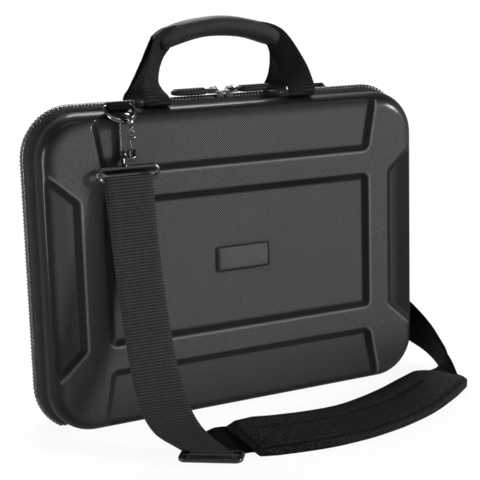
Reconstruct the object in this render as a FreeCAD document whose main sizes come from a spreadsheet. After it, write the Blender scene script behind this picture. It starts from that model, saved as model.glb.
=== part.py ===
import FreeCAD
import Part
import math
import os
import Sketcher

# Moulded laptop briefcase that stands on its bottom edge.
# X points right, Y to the back, Z up. The zip lies in the plane Y = 0 and the floor is Z = 0.
# Everything on the back half is the front half turned half a turn about Z.

doc = FreeCAD.newDocument("Briefcase")
vec = FreeCAD.Vector

sheet = doc.addObject("Spreadsheet::Sheet", "Dims")

driving = [
    # moulded shells
    ("shell_width", 338.0),
    ("shell_height", 250.0),
    ("shell_depth", 24.0),
    ("corner_radius", 36.0),
    ("edge_radius", 14.0),
    ("gusset_half", 9.0),
    ("side_wall", 5.0),
    ("face_wall", 8.0),
    # embossed frame on the face
    ("emboss_depth", 4.0),
    ("emboss_slope", 55.0),
    ("panel_side_margin", 48.0),
    ("panel_end_margin", 66.5),
    ("frame_bar", 18.0),
    ("flare", 11.0),
    ("side_panel_margin", 66.0),
    ("side_panel_flare", 15.0),
    # lining
    ("lining_thickness", 2.0),
    ("lining_gap", 0.2),
    ("lining_rim", 1.0),
    # zip
    ("tape_thickness", 1.2),
    ("tape_edge", 2.0),
    ("chain_height", 5.6),
    ("chain_half", 3.8),
    ("chain_gap", 0.15),
    ("zip_end", 30.0),
    ("spine_inset", 0.5),
    ("spine_gap", 0.4),
    # badge
    ("badge_width", 48.0),
    ("badge_height", 21.0),
    ("badge_thickness", 1.8),
    ("badge_border", 1.6),
    ("badge_sink", 0.8),
    # sliders and pulls
    ("slider_offset", 7.4),
    ("slider_length", 13.0),
    ("slider_half", 5.5),
    ("slider_plate", 1.5),
    ("slider_lift", 0.8),
    ("slider_lip", 1.3),
    ("slider_taper", 1.5),
    ("bridge_radius", 4.0),
    ("bridge_wire", 1.0),
    ("pull_pin", 1.0),
    ("pull_rise", 1.4),
    ("pull_length", 38.0),
    ("pull_half", 4.6),
    ("pull_thickness", 2.2),
    ("pull_start", 7.0),
    ("pull_arm_inset", 1.1),
    ("pull_arm_width", 1.3),
    ("pull_arm_height", 1.8),
    ("pull_arm_lap", 0.5),
    # handle
    ("web_width", 25.0),
    ("web_thickness", 2.6),
    ("handle_spread", 65.0),
    ("handle_base", 15.0),
    ("handle_lift", 1.8),
    ("tab_thickness", 2.4),
    ("handle_tab_depth", 8.0),
    ("grip_rise", 55.6),
    ("grip_bend", 125.0),
    ("arch_half", 6.0),
    ("arch_outer_x", 60.0),
    ("arch_inner_x", 48.0),
    ("grip_half_length", 56.0),
    ("grip_half_height", 8.2),
    ("grip_depth", 11.0),
    ("grip_split", 0.3),
    ("handle_lean", 10.2),
    # ring tab and D-ring
    ("hang_margin", 67.0),
    ("ring_bar_depth", 23.5),
    ("ring_bar_lift", 3.2),
    ("ring_wire", 1.75),
    ("ring_half_width", 11.5),
    ("ring_corner", 2.2),
    ("ring_shoulder", 6.0),
    ("ring_tilt", 53.13),
    ("ring_tab_width", 18.0),
    ("sleeve_gap", 0.35),
    ("sleeve_wall", 1.6),
    ("ring_tab_end", 1.5),
    # snap hook
    ("claw_inner", 4.5),
    ("claw_outer", 8.4),
    ("claw_play", 1.2),
    ("claw_tip", 1.6),
    ("hook_half", 3.0),
    ("hook_base", 24.3),
    ("hook_base_height", 3.7),
    ("barrel_radius", 4.6),
    ("barrel_height", 7.0),
    ("post_radius", 2.5),
    ("post_play", 0.1),
    ("post_head", 3.4),
    ("post_head_height", 1.5),
    ("post_head_gap", 0.3),
    ("gate_pivot_rise", 3.3),
    ("gate_foot", 1.9),
    ("gate_pin", 0.9),
    ("gate_pin_play", 0.05),
    ("gate_thickness", 3.8),
    ("gate_half", 2.5),
    ("gate_slot_half", 1.7),
    ("gate_play", 0.2),
    ("gate_inset", 0.1),
    ("gate_ear_depth", 4.7),
    ("gate_ear_rise", 1.7),
    ("gate_fork_play", 0.4),
    ("gate_fork_back", 3.6),
    ("gate_fork_height", 8.0),
    ("gate_bar_rise", 2.9),
    ("gate_neck", 3.2),
    ("thumb_reach", 1.8),
    ("thumb_depth", 2.4),
    ("thumb_height", 3.0),
    ("thumb_drop", 10.0),
    # strap loop and strap
    ("loop_half_width", 20.0),
    ("loop_end_radius", 4.75),
    ("loop_drop", 2.2),
    ("strap_width", 38.0),
    ("strap_thickness", 1.6),
    ("strap_layer_gap", 0.2),
    ("adjuster_length", 48.0),
    ("adjuster_depth", 22.0),
    ("adjuster_thickness", 3.4),
    ("adjuster_bar", 4.0),
    ("adjuster_corner", 5.0),
    ("adjuster_turn", -36.0),
    ("pad_half_width", 31.0),
    ("pad_half_thickness", 5.5),
]

for row, (alias, value) in enumerate(driving, 1):
    sheet.set("A%d" % row, alias)
    sheet.set("B%d" % row, str(value))
    sheet.setAlias("B%d" % row, alias)
doc.recompute()


def size(alias):
    return float(sheet.get(alias))


def plane_of(body, role):
    for feature in body.Origin.OriginFeatures:
        if feature.Role == role:
            return feature
    raise ValueError("no plane " + role)


def polygon(body, name, role, start, corners):
    # Closed outline whose corner coordinates follow the sheet
    sketch = body.newObject("Sketcher::SketchObject", name)
    sketch.AttachmentSupport = [(plane_of(body, role), "")]
    sketch.MapMode = "FlatFace"
    sketch.setExpression("AttachmentOffset.Base.z", start)
    count = len(corners)
    spots = []
    for i in range(count):
        turn = 2 * math.pi * i / count
        spots.append(vec(50 * math.cos(turn), 50 * math.sin(turn), 0))
    for i in range(count):
        sketch.addGeometry(Part.LineSegment(spots[i], spots[(i + 1) % count]), False)
    for i in range(count):
        sketch.addConstraint(Sketcher.Constraint("Coincident", i, 2, (i + 1) % count, 1))
    for i, (across, up) in enumerate(corners):
        first = sketch.addConstraint(Sketcher.Constraint("DistanceX", i, 1, spots[i].x))
        sketch.renameConstraint(first, "across%d" % i)
        second = sketch.addConstraint(Sketcher.Constraint("DistanceY", i, 1, spots[i].y))
        sketch.renameConstraint(second, "up%d" % i)
        sketch.setExpression("Constraints.across%d" % i, across)
        sketch.setExpression("Constraints.up%d" % i, up)
    doc.recompute()
    return sketch


def pad(body, name, sketch, length, reverse=False):
    feature = body.newObject("PartDesign::Pad", name)
    feature.Profile = sketch
    feature.Reversed = reverse
    feature.setExpression("Length", length)
    doc.recompute()
    return feature


def pocket(body, name, sketch, length, reverse=False, slope=None):
    before = body.Shape.Volume
    feature = body.newObject("PartDesign::Pocket", name)
    feature.Profile = sketch
    feature.Reversed = reverse
    feature.setExpression("Length", length)
    if slope:
        feature.setExpression("TaperAngle", slope)
    doc.recompute()
    if body.Shape.Volume > before - 1.0:
        raise ValueError(name + " cuts nothing")
    return feature


def round_edges(body, name, radius, chosen):
    base = body.Tip
    picked = []
    for number, edge in enumerate(base.Shape.Edges, 1):
        if chosen(edge):
            picked.append("Edge%d" % number)
    feature = body.newObject("PartDesign::Fillet", name)
    feature.Base = (base, picked)
    feature.setExpression("Radius", radius)
    doc.recompute()
    return feature


def along_depth(edge):
    ends = edge.Vertexes[-1].Point.sub(edge.Vertexes[0].Point)
    return abs(ends.x) < 1e-6 and abs(ends.z) < 1e-6 and abs(ends.y) > 1e-6


def rounded_slab(name, half_width, low, high, radius, start, depth):
    # Upright slab with round corners, from Y = -start forwards
    body = doc.addObject("PartDesign::Body", name)
    corners = [
        ("-(%s)" % half_width, low),
        (half_width, low),
        (half_width, high),
        ("-(%s)" % half_width, high),
    ]
    outline = polygon(body, name + "Outline", "XZ_Plane", start, corners)
    pad(body, name + "Pad", outline, depth)
    round_edges(body, name + "Corners", radius, along_depth)
    return body


def block(name, x, y, z, length, width, height):
    box = doc.addObject("Part::Box", name)
    box.setExpression("Length", length)
    box.setExpression("Width", width)
    box.setExpression("Height", height)
    box.setExpression("Placement.Base.x", x)
    box.setExpression("Placement.Base.y", y)
    box.setExpression("Placement.Base.z", z)
    return box


turns = {
    "x": FreeCAD.Rotation(vec(0, 1, 0), 90),
    "y": FreeCAD.Rotation(vec(1, 0, 0), -90),
    "z": FreeCAD.Rotation(),
}


def drum(name, axis, radius, length, x, y, z):
    # Cylinder that starts at x, y, z and runs along the named axis
    cylinder = doc.addObject("Part::Cylinder", name)
    cylinder.Placement = FreeCAD.Placement(vec(0, 0, 0), turns[axis])
    cylinder.setExpression("Radius", radius)
    cylinder.setExpression("Height", length)
    cylinder.setExpression("Placement.Base.x", x)
    cylinder.setExpression("Placement.Base.y", y)
    cylinder.setExpression("Placement.Base.z", z)
    return cylinder


def cut(name, base, tool):
    result = doc.addObject("Part::Cut", name)
    result.Base = base
    result.Tool = tool
    doc.recompute()
    return result


def fuse(name, pieces):
    result = doc.addObject("Part::MultiFuse", name)
    result.Shapes = pieces
    result.Refine = True
    doc.recompute()
    return result


def computed(name, shape, place=None):
    feature = doc.addObject("Part::Feature", name)
    feature.Shape = shape
    if place:
        feature.Placement = place
    return feature


def turned(name, source):
    # The same piece on the other half, half a turn about Z
    copy = doc.addObject("Part::Compound", name)
    copy.Links = [source]
    copy.Placement = FreeCAD.Placement(vec(0, 0, 0), FreeCAD.Rotation(vec(0, 0, 1), 180))
    doc.recompute()
    return copy


def rod_line(start, end, radius):
    run = end.sub(start)
    return Part.makeCylinder(radius, run.Length, start, run)


def rod_arc(start, centre, axis, angle, radius):
    tangent = axis.cross(start.sub(centre))
    disc = Part.Face(Part.Wire([Part.makeCircle(radius, start, tangent)]))
    return disc.revolve(centre, axis, angle)


def join(pieces):
    return pieces[0].multiFuse(pieces[1:]).removeSplitter()


nodes = {}


def keep(label, feature):
    feature.Label = label
    nodes[label] = feature


half_w = "Dims.shell_width / 2"
face = "Dims.gusset_half + Dims.shell_depth"
middle = "Dims.shell_height / 2"
panel_w = "(Dims.shell_width / 2 - Dims.panel_side_margin)"
panel_h = "(Dims.shell_height / 2 - Dims.panel_end_margin)"
side_panel_h = "(Dims.shell_height / 2 - Dims.side_panel_margin)"
hang = "(Dims.shell_width / 2 - Dims.hang_margin)"

# Front shell: a moulded tray with a framed face
shell = rounded_slab(
    "FrontShell",
    half_w,
    "0",
    "Dims.shell_height",
    "Dims.corner_radius",
    "Dims.gusset_half",
    "Dims.shell_depth",
)
front_y = -(size("gusset_half") + size("shell_depth"))
round_edges(shell, "FaceRound", "Dims.edge_radius", lambda edge: edge.BoundBox.YMax < front_y + 0.01)

panel = polygon(
    shell,
    "CentrePanel",
    "XZ_Plane",
    face,
    [
        ("-" + panel_w, middle + " - " + panel_h),
        (panel_w, middle + " - " + panel_h),
        (panel_w, middle + " + " + panel_h),
        ("-" + panel_w, middle + " + " + panel_h),
    ],
)
pocket(shell, "CentreRecess", panel, "Dims.emboss_depth", slope="-Dims.emboss_slope")

beyond = 10.0
for name, sign in (("Top", "+"), ("Bottom", "-")):
    inner = "%s %s (%s + Dims.frame_bar)" % (middle, sign, panel_h)
    outer = "%s %s (Dims.shell_height / 2 + %g)" % (middle, sign, beyond)
    outline = polygon(
        shell,
        name + "Panel",
        "XZ_Plane",
        face,
        [
            ("-" + panel_w, inner),
            (panel_w, inner),
            (panel_w + " + Dims.flare", outer),
            ("-" + panel_w + " - Dims.flare", outer),
        ],
    )
    pocket(shell, name + "Recess", outline, "Dims.emboss_depth", slope="-Dims.emboss_slope")

for name, sign in (("Left", "-1"), ("Right", "1")):
    inner = "%s * (%s + Dims.frame_bar)" % (sign, panel_w)
    bend = "%s * (%s + Dims.frame_bar + Dims.side_panel_flare)" % (sign, panel_w)
    outer = "%s * (Dims.shell_width / 2 + %g)" % (sign, beyond)
    low = middle + " - " + side_panel_h
    high = middle + " + " + side_panel_h
    outline = polygon(
        shell,
        name + "Panel",
        "XZ_Plane",
        face,
        [
            (inner, low),
            (inner, high),
            (bend, high + " + Dims.side_panel_flare"),
            (outer, high + " + Dims.side_panel_flare"),
            (outer, low + " - Dims.side_panel_flare"),
            (bend, low + " - Dims.side_panel_flare"),
        ],
    )
    pocket(shell, name + "Recess", outline, "Dims.emboss_depth", slope="-Dims.emboss_slope")

core = rounded_slab(
    "FrontHollow",
    "Dims.shell_width / 2 - Dims.side_wall",
    "Dims.side_wall",
    "Dims.shell_height - Dims.side_wall",
    "Dims.corner_radius - Dims.side_wall",
    "Dims.gusset_half",
    "Dims.shell_depth - Dims.face_wall",
)
shell = cut("FrontShellHollowed", shell, core)
keep("front_shell", shell)
keep("back_shell", turned("BackShell", shell))

# Lining tray inside the shell
lining_in = "(Dims.side_wall + Dims.lining_gap)"
tray_in = "(Dims.side_wall + Dims.lining_gap + Dims.lining_thickness)"
lining_depth = "Dims.shell_depth - Dims.face_wall - Dims.lining_rim - Dims.lining_gap"
trays = []
for name, inset, depth in (
    ("LiningOuter", lining_in, lining_depth),
    ("LiningInner", tray_in, lining_depth + " - Dims.lining_thickness"),
):
    trays.append(
        rounded_slab(
            name,
            "Dims.shell_width / 2 - " + inset,
            inset,
            "Dims.shell_height - " + inset,
            "Dims.corner_radius - " + inset,
            "Dims.gusset_half + Dims.lining_rim",
            depth,
        )
    )
lining = cut("FrontLining", trays[0], trays[1])
keep("front_lining", lining)
keep("back_lining", turned("BackLining", lining))


def outline_band(name, outset, thickness, start, depth):
    # Band that follows the shell's outline, outset from it and of the given thickness
    outer = rounded_slab(
        name + "Outer",
        "Dims.shell_width / 2 + (%s)" % outset,
        "-(%s)" % outset,
        "Dims.shell_height + (%s)" % outset,
        "Dims.corner_radius + (%s)" % outset,
        start,
        depth,
    )
    inset = "(%s) - (%s)" % (outset, thickness)
    inner = rounded_slab(
        name + "Inner",
        "Dims.shell_width / 2 + %s" % inset,
        "-(%s)" % inset,
        "Dims.shell_height + %s" % inset,
        "Dims.corner_radius + %s" % inset,
        start,
        depth,
    )
    return cut(name + "Ring", outer, inner)


def zip_part(name, outset, thickness, start, depth):
    # The zip runs up both sides and over the top, so its ring is open below
    ring = outline_band(name, outset, thickness, start, depth)
    below = block(
        name + "Below",
        "-Dims.shell_width",
        "-Dims.shell_width / 2",
        "-20",
        "2 * Dims.shell_width",
        "Dims.shell_width",
        "Dims.zip_end + 20",
    )
    return cut(name, ring, below)


tape = zip_part(
    "FrontTape", "0", "Dims.tape_thickness", "Dims.tape_edge", "Dims.gusset_half - Dims.tape_edge"
)
keep("front_zip_tape", tape)
keep("back_zip_tape", turned("BackTape", tape))

chain = zip_part(
    "FrontChain",
    "Dims.chain_height",
    "Dims.chain_height",
    "Dims.chain_gap",
    "Dims.chain_half - Dims.chain_gap",
)
keep("front_zip_teeth", chain)
keep("back_zip_teeth", turned("BackChain", chain))

# Cloth spine under the case, up to the ends of the zip
spine_ring = outline_band(
    "Spine", "-Dims.spine_inset", "Dims.tape_thickness", "-Dims.gusset_half", "2 * Dims.gusset_half"
)
spine_above = block(
    "SpineAbove",
    "-Dims.shell_width",
    "-Dims.shell_width / 2",
    "Dims.zip_end - Dims.spine_gap",
    "2 * Dims.shell_width",
    "Dims.shell_width",
    "Dims.shell_height",
)
keep("spine_gusset", cut("SpineGusset", spine_ring, spine_above))

# Blank badge plate with a raised border, on the floor of the centre panel
badge = doc.addObject("PartDesign::Body", "Badge")
badge_seat = face + " - Dims.emboss_depth"
plate = polygon(
    badge,
    "BadgeOutline",
    "XZ_Plane",
    badge_seat,
    [
        ("-Dims.badge_width / 2", middle + " - Dims.badge_height / 2"),
        ("Dims.badge_width / 2", middle + " - Dims.badge_height / 2"),
        ("Dims.badge_width / 2", middle + " + Dims.badge_height / 2"),
        ("-Dims.badge_width / 2", middle + " + Dims.badge_height / 2"),
    ],
)
pad(badge, "BadgePad", plate, "Dims.badge_thickness")
field_w = "(Dims.badge_width / 2 - Dims.badge_border)"
field_h = "(Dims.badge_height / 2 - Dims.badge_border)"
field = polygon(
    badge,
    "BadgeField",
    "XZ_Plane",
    badge_seat + " + Dims.badge_thickness",
    [
        ("-" + field_w, middle + " - " + field_h),
        (field_w, middle + " - " + field_h),
        (field_w, middle + " + " + field_h),
        ("-" + field_w, middle + " + " + field_h),
    ],
)
pocket(badge, "BadgeSink", field, "Dims.badge_sink")
keep("badge", badge)

# Zip sliders: a wedge plate over both rows with a lip on the front row, a bridge, and a pull on a pin
plate_low = "Dims.shell_height + Dims.chain_height + Dims.slider_lift"
plate_top = plate_low + " + Dims.slider_plate"
pin_level = size("shell_height") + size("chain_height") + size("slider_lift") + size("slider_plate")
for side, sign in (("left", "-1"), ("right", "1")):
    title = side.capitalize()
    slider = doc.addObject("PartDesign::Body", title + "Slider")
    near = "%s * (Dims.slider_offset - Dims.slider_length / 2)" % sign
    shoulder = "%s * Dims.slider_offset" % sign
    far = "%s * (Dims.slider_offset + Dims.slider_length / 2)" % sign
    wedge = polygon(
        slider,
        title + "Wedge",
        "XY_Plane",
        plate_low,
        [
            (near, "-Dims.slider_half"),
            (shoulder, "-Dims.slider_half"),
            (far, "-Dims.slider_half + Dims.slider_taper"),
            (far, "Dims.slider_half - Dims.slider_taper"),
            (shoulder, "Dims.slider_half"),
            (near, "Dims.slider_half"),
        ],
    )
    pad(slider, title + "Plate", wedge, "Dims.slider_plate")
    lip = polygon(
        slider,
        title + "LipOutline",
        "XY_Plane",
        plate_low,
        [
            (near, "-Dims.slider_half"),
            (shoulder, "-Dims.slider_half"),
            (shoulder, "-Dims.slider_half + Dims.slider_lip"),
            (near, "-Dims.slider_half + Dims.slider_lip"),
        ],
    )
    pad(slider, title + "Lip", lip, "Dims.chain_height", reverse=True)
    keep(side + "_slider", slider)

    centre_x = float(sign) * size("slider_offset")
    reach = size("bridge_radius")
    foot = vec(centre_x - reach, 0, pin_level)
    arch = rod_arc(foot, vec(centre_x, 0, pin_level), vec(0, 1, 0), 180, size("bridge_wire"))
    keep(side + "_bridge", computed(title + "Bridge", arch))

    pin_z = plate_top + " + Dims.pull_rise"
    pin = drum(
        title + "PullPin",
        "y",
        "Dims.pull_pin",
        "2 * (Dims.pull_half - Dims.pull_arm_inset)",
        shoulder,
        "-(Dims.pull_half - Dims.pull_arm_inset)",
        pin_z,
    )
    arm_x = "%s * Dims.slider_offset" % sign
    if sign == "-1":
        arm_x = arm_x + " - Dims.pull_start - Dims.pull_arm_lap"
    arm_len = "Dims.pull_start + Dims.pull_arm_lap"
    arm_z = pin_z + " - Dims.pull_arm_height / 2"
    arm_front = "-(Dims.pull_half - Dims.pull_arm_inset)"
    arm_back = "Dims.pull_half - Dims.pull_arm_inset - Dims.pull_arm_width"
    arms = []
    for place, arm_y in (("Front", arm_front), ("Back", arm_back)):
        arms.append(
            block(
                title + "PullArm" + place,
                arm_x,
                arm_y,
                arm_z,
                arm_len,
                "Dims.pull_arm_width",
                "Dims.pull_arm_height",
            )
        )
    tab_x = "%s * Dims.slider_offset + Dims.pull_start" % sign
    if sign == "-1":
        tab_x = "-Dims.slider_offset - Dims.pull_length"
    tab = block(
        title + "PullTab",
        tab_x,
        "-Dims.pull_half",
        pin_z + " - Dims.pull_thickness / 2",
        "Dims.pull_length - Dims.pull_start",
        "2 * Dims.pull_half",
        "Dims.pull_thickness",
    )
    keep(side + "_pull", fuse(title + "Pull", [pin, tab] + arms))

# Carrying handle of the front half: sewn tabs, a webbing arch and half of the padded grip
tabs = []
for place, tab_x in (("Left", "-Dims.handle_spread"), ("Right", "Dims.handle_spread")):
    tabs.append(
        block(
            "HandleTab" + place,
            tab_x + " - Dims.web_width / 2",
            "-Dims.handle_base - Dims.handle_tab_depth / 2",
            "Dims.shell_height",
            "Dims.web_width",
            "Dims.handle_tab_depth",
            "Dims.tab_thickness",
        )
    )
tab_pair = doc.addObject("Part::Compound", "FrontHandleTabs")
tab_pair.Links = tabs
doc.recompute()
keep("front_handle_tabs", tab_pair)
keep("back_handle_tabs", turned("BackHandleTabs", tab_pair))

base_z = size("shell_height") + size("tab_thickness") + size("handle_lift")
base_y = -size("handle_base")
bend = size("grip_bend")
bend_z = size("grip_rise") - bend
outer_r = bend + size("arch_half")
inner_r = bend - size("arch_half")
outer_x = size("arch_outer_x")
inner_x = size("arch_inner_x")
foot_out = size("handle_spread") + size("web_width") / 2
foot_in = size("handle_spread") - size("web_width") / 2
web_t = size("web_thickness")


def foot_point(x):
    return vec(x, -web_t / 2, 0)


def arch_point(x, radius):
    return vec(x, -web_t / 2, bend_z + math.sqrt(radius * radius - x * x))


arch_edges = [
    Part.LineSegment(foot_point(-foot_in), foot_point(-foot_out)).toShape(),
    Part.LineSegment(foot_point(-foot_out), arch_point(-outer_x, outer_r)).toShape(),
    Part.Arc(arch_point(-outer_x, outer_r), arch_point(0, outer_r), arch_point(outer_x, outer_r)).toShape(),
    Part.LineSegment(arch_point(outer_x, outer_r), foot_point(foot_out)).toShape(),
    Part.LineSegment(foot_point(foot_out), foot_point(foot_in)).toShape(),
    Part.LineSegment(foot_point(foot_in), arch_point(inner_x, inner_r)).toShape(),
    Part.Arc(arch_point(inner_x, inner_r), arch_point(0, inner_r), arch_point(-inner_x, inner_r)).toShape(),
    Part.LineSegment(arch_point(-inner_x, inner_r), foot_point(-foot_in)).toShape(),
]
arch_face = Part.Face(Part.Wire(Part.__sortEdges__(arch_edges)))
arch = arch_face.extrude(vec(0, web_t, 0))
roots = []
for foot_x in (-size("handle_spread"), size("handle_spread")):
    start = vec(foot_x - size("web_width") / 2, 0, 0)
    roots.append(Part.makeCylinder(web_t / 2, size("web_width"), start, vec(1, 0, 0)))
webbing = join([arch] + roots)
lean = FreeCAD.Rotation(vec(1, 0, 0), -size("handle_lean"))
front_webbing = computed("FrontHandleWebbing", webbing, FreeCAD.Placement(vec(0, base_y, base_z), lean))
keep("front_handle_webbing", front_webbing)

grip_z = base_z + size("grip_rise")
split = -size("grip_split")
section = []
steps = 16
for i in range(steps + 1):
    turn = math.pi * i / steps
    depth = (size("grip_depth") - size("grip_split")) * math.sin(turn)
    section.append(vec(0, split - depth, grip_z + size("grip_half_height") * math.cos(turn)))
curve = Part.BSplineCurve()
curve.interpolate(section)
flat = Part.LineSegment(section[-1], section[0])
grip_face = Part.Face(Part.Wire([curve.toShape(), flat.toShape()]))
grip_turn = math.degrees(math.asin(size("grip_half_length") / bend))
pivot = vec(0, 0, grip_z - bend)
half_right = grip_face.revolve(pivot, vec(0, 1, 0), grip_turn)
half_left = grip_face.revolve(pivot, vec(0, 1, 0), -grip_turn)
grip = computed("FrontGripBlank", join([half_right, half_left]))
front_grip = cut("FrontGrip", grip, front_webbing)
keep("front_grip", front_grip)
keep("back_handle_webbing", turned("BackHandleWebbing", front_webbing))
keep("back_grip", turned("BackGrip", front_grip))

# Ring tab sewn on the shell's top edge, with a sleeve around the D-ring's bar
hang_x = "-" + hang
bar_y = "-Dims.ring_bar_depth"
bar_z = "Dims.shell_height + Dims.ring_bar_lift"
sleeve_bore = "Dims.ring_wire + Dims.sleeve_gap"
sleeve = drum(
    "RingSleeve",
    "x",
    sleeve_bore + " + Dims.sleeve_wall",
    "Dims.ring_tab_width",
    hang_x + " - Dims.ring_tab_width / 2",
    bar_y,
    bar_z,
)
strip = block(
    "RingTabStrip",
    hang_x + " - Dims.ring_tab_width / 2",
    bar_y,
    "Dims.shell_height",
    "Dims.ring_tab_width",
    "Dims.ring_bar_depth - Dims.gusset_half - Dims.ring_tab_end",
    "Dims.tab_thickness",
)
sleeve_hole = drum(
    "RingSleeveHole",
    "x",
    sleeve_bore,
    "Dims.ring_tab_width + 4",
    hang_x + " - Dims.ring_tab_width / 2 - 2",
    bar_y,
    bar_z,
)
ring_tab = cut("LeftRingTab", fuse("RingTabBlank", [sleeve, strip]), sleeve_hole)
keep("left_ring_tab", ring_tab)
keep("right_ring_tab", turned("RightRingTab", ring_tab))

# D-ring: a straight bar in the sleeve, two legs and a half-round bow
wire = size("ring_wire")
leg_x = size("ring_half_width")
corner = size("ring_corner")
shoulder_drop = size("ring_shoulder")
bar_end = leg_x - corner
z_axis = vec(0, 0, 1)
ring_pieces = [
    rod_line(vec(-bar_end, 0, 0), vec(bar_end, 0, 0), wire),
    rod_arc(vec(bar_end, 0, 0), vec(bar_end, -corner, 0), vec(0, 0, -1), 90, wire),
    rod_arc(vec(-bar_end, 0, 0), vec(-bar_end, -corner, 0), z_axis, 90, wire),
    rod_line(vec(leg_x, -corner, 0), vec(leg_x, -shoulder_drop, 0), wire),
    rod_line(vec(-leg_x, -corner, 0), vec(-leg_x, -shoulder_drop, 0), wire),
    rod_arc(vec(leg_x, -shoulder_drop, 0), vec(0, -shoulder_drop, 0), vec(0, 0, -1), 180, wire),
]
ring = join(ring_pieces)
hang_at = size("shell_width") / 2 - size("hang_margin")
ring_spot = vec(-hang_at, -size("ring_bar_depth"), size("shell_height") + size("ring_bar_lift"))
ring_lean = FreeCAD.Rotation(vec(1, 0, 0), 90 - size("ring_tilt"))
left_ring = computed("LeftDRing", ring, FreeCAD.Placement(ring_spot, ring_lean))
keep("left_d_ring", left_ring)
keep("right_d_ring", turned("RightDRing", left_ring))

# Snap hook: claw, shank, base with a forked foot for the gate, and the swivel barrel
ring_reach = "(Dims.ring_shoulder + Dims.ring_half_width)"
hook_y = "(%s - %s * sin(Dims.ring_tilt * 1 deg) - Dims.claw_play)" % (bar_y, ring_reach)
claw_z = "(%s - %s * cos(Dims.ring_tilt * 1 deg) - Dims.claw_play)" % (bar_z, ring_reach)
hook_x0 = hang_x + " - Dims.hook_half"
hook_w = "2 * Dims.hook_half"
claw = drum("Claw", "x", "Dims.claw_outer", hook_w, hook_x0, hook_y, claw_z)
mouth = drum("Mouth", "x", "Dims.claw_inner", hook_w + " + 4", hook_x0 + " - 2", hook_y, claw_z)
below_claw = block(
    "BelowClaw",
    hook_x0 + " - 2",
    hook_y + " - 2 * Dims.claw_outer",
    claw_z + " - 2 * Dims.claw_outer",
    hook_w + " + 4",
    "4 * Dims.claw_outer",
    "2 * Dims.claw_outer",
)
bow = cut("ClawBow", cut("ClawRing", claw, mouth), below_claw)
base_low = claw_z + " - Dims.hook_base - Dims.hook_base_height"
base_top = claw_z + " - Dims.hook_base"
shank = block(
    "Shank",
    hook_x0,
    hook_y + " + Dims.claw_inner",
    base_low,
    hook_w,
    "Dims.claw_outer - Dims.claw_inner",
    "Dims.hook_base + Dims.hook_base_height",
)
tip = block(
    "ClawTip",
    hook_x0,
    hook_y + " - Dims.claw_outer",
    claw_z + " - Dims.claw_tip",
    hook_w,
    "Dims.claw_outer - Dims.claw_inner",
    "Dims.claw_tip",
)
sole = block(
    "HookSole",
    hook_x0,
    hook_y + " - Dims.claw_outer",
    base_low,
    hook_w,
    "2 * Dims.claw_outer",
    "Dims.hook_base_height",
)
pivot_z = base_top + " + Dims.gate_pivot_rise"
pivot_y = hook_y + " - Dims.claw_outer + Dims.gate_inset + Dims.gate_thickness / 2"
ears = block(
    "GateEars",
    hook_x0,
    hook_y + " - Dims.claw_outer",
    base_low,
    hook_w,
    "Dims.gate_ear_depth",
    "Dims.hook_base_height + Dims.gate_pivot_rise + Dims.gate_ear_rise",
)
barrel = drum(
    "Barrel",
    "z",
    "Dims.barrel_radius",
    "Dims.barrel_height",
    hang_x,
    hook_y,
    base_top + " - Dims.barrel_height",
)
blank = fuse("HookBlank", [bow, shank, tip, sole, ears, barrel])
fork = block(
    "GateFork",
    hang_x + " - Dims.gate_slot_half",
    hook_y + " - 2 * Dims.claw_outer",
    pivot_z + " - Dims.gate_foot - Dims.gate_fork_play",
    "2 * Dims.gate_slot_half",
    "2 * Dims.claw_outer - Dims.gate_fork_back",
    "Dims.gate_fork_height",
)
pin_hole = drum(
    "GatePinHole",
    "x",
    "Dims.gate_pin + Dims.gate_pin_play",
    hook_w + " + 4",
    hook_x0 + " - 2",
    pivot_y,
    pivot_z,
)
swivel_hole = drum(
    "SwivelHole",
    "z",
    "Dims.post_radius + Dims.post_play",
    "Dims.barrel_height + 2",
    hang_x,
    hook_y,
    base_top + " - Dims.barrel_height - 1",
)
hook = cut("HookForked", blank, fork)
hook = cut("HookPinned", hook, pin_hole)
hook = cut("LeftHook", hook, swivel_hole)
keep("left_hook", hook)
keep("right_hook", turned("RightHook", hook))

# Spring gate that closes the claw, on its own pin
gate_y = pivot_y + " - Dims.gate_thickness / 2"
gate_top = claw_z + " - Dims.claw_tip - 2 * Dims.gate_play"
bar_foot = pivot_z + " + Dims.gate_bar_rise"
gate_bar = block(
    "GateBar",
    hang_x + " - Dims.gate_half",
    gate_y,
    bar_foot,
    "2 * Dims.gate_half",
    "Dims.gate_thickness",
    "(%s) - (%s)" % (gate_top, bar_foot),
)
gate_neck = block(
    "GateNeck",
    hang_x + " - Dims.gate_slot_half + Dims.gate_play",
    gate_y,
    pivot_z,
    "2 * (Dims.gate_slot_half - Dims.gate_play)",
    "Dims.gate_thickness",
    "Dims.gate_neck",
)
gate_disc = drum(
    "GateDisc",
    "x",
    "Dims.gate_foot",
    "2 * (Dims.gate_slot_half - Dims.gate_play)",
    hang_x + " - Dims.gate_slot_half + Dims.gate_play",
    pivot_y,
    pivot_z,
)
gate_pin = drum("GatePin", "x", "Dims.gate_pin", hook_w, hook_x0, pivot_y, pivot_z)
thumb = block(
    "GateThumb",
    hang_x + " - Dims.gate_half",
    gate_y + " - Dims.thumb_reach",
    gate_top + " - Dims.thumb_drop",
    "2 * Dims.gate_half",
    "Dims.thumb_depth",
    "Dims.thumb_height",
)
gate = fuse("LeftGate", [gate_bar, gate_neck, gate_disc, gate_pin, thumb])
keep("left_gate", gate)
keep("right_gate", turned("RightGate", gate))

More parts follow.
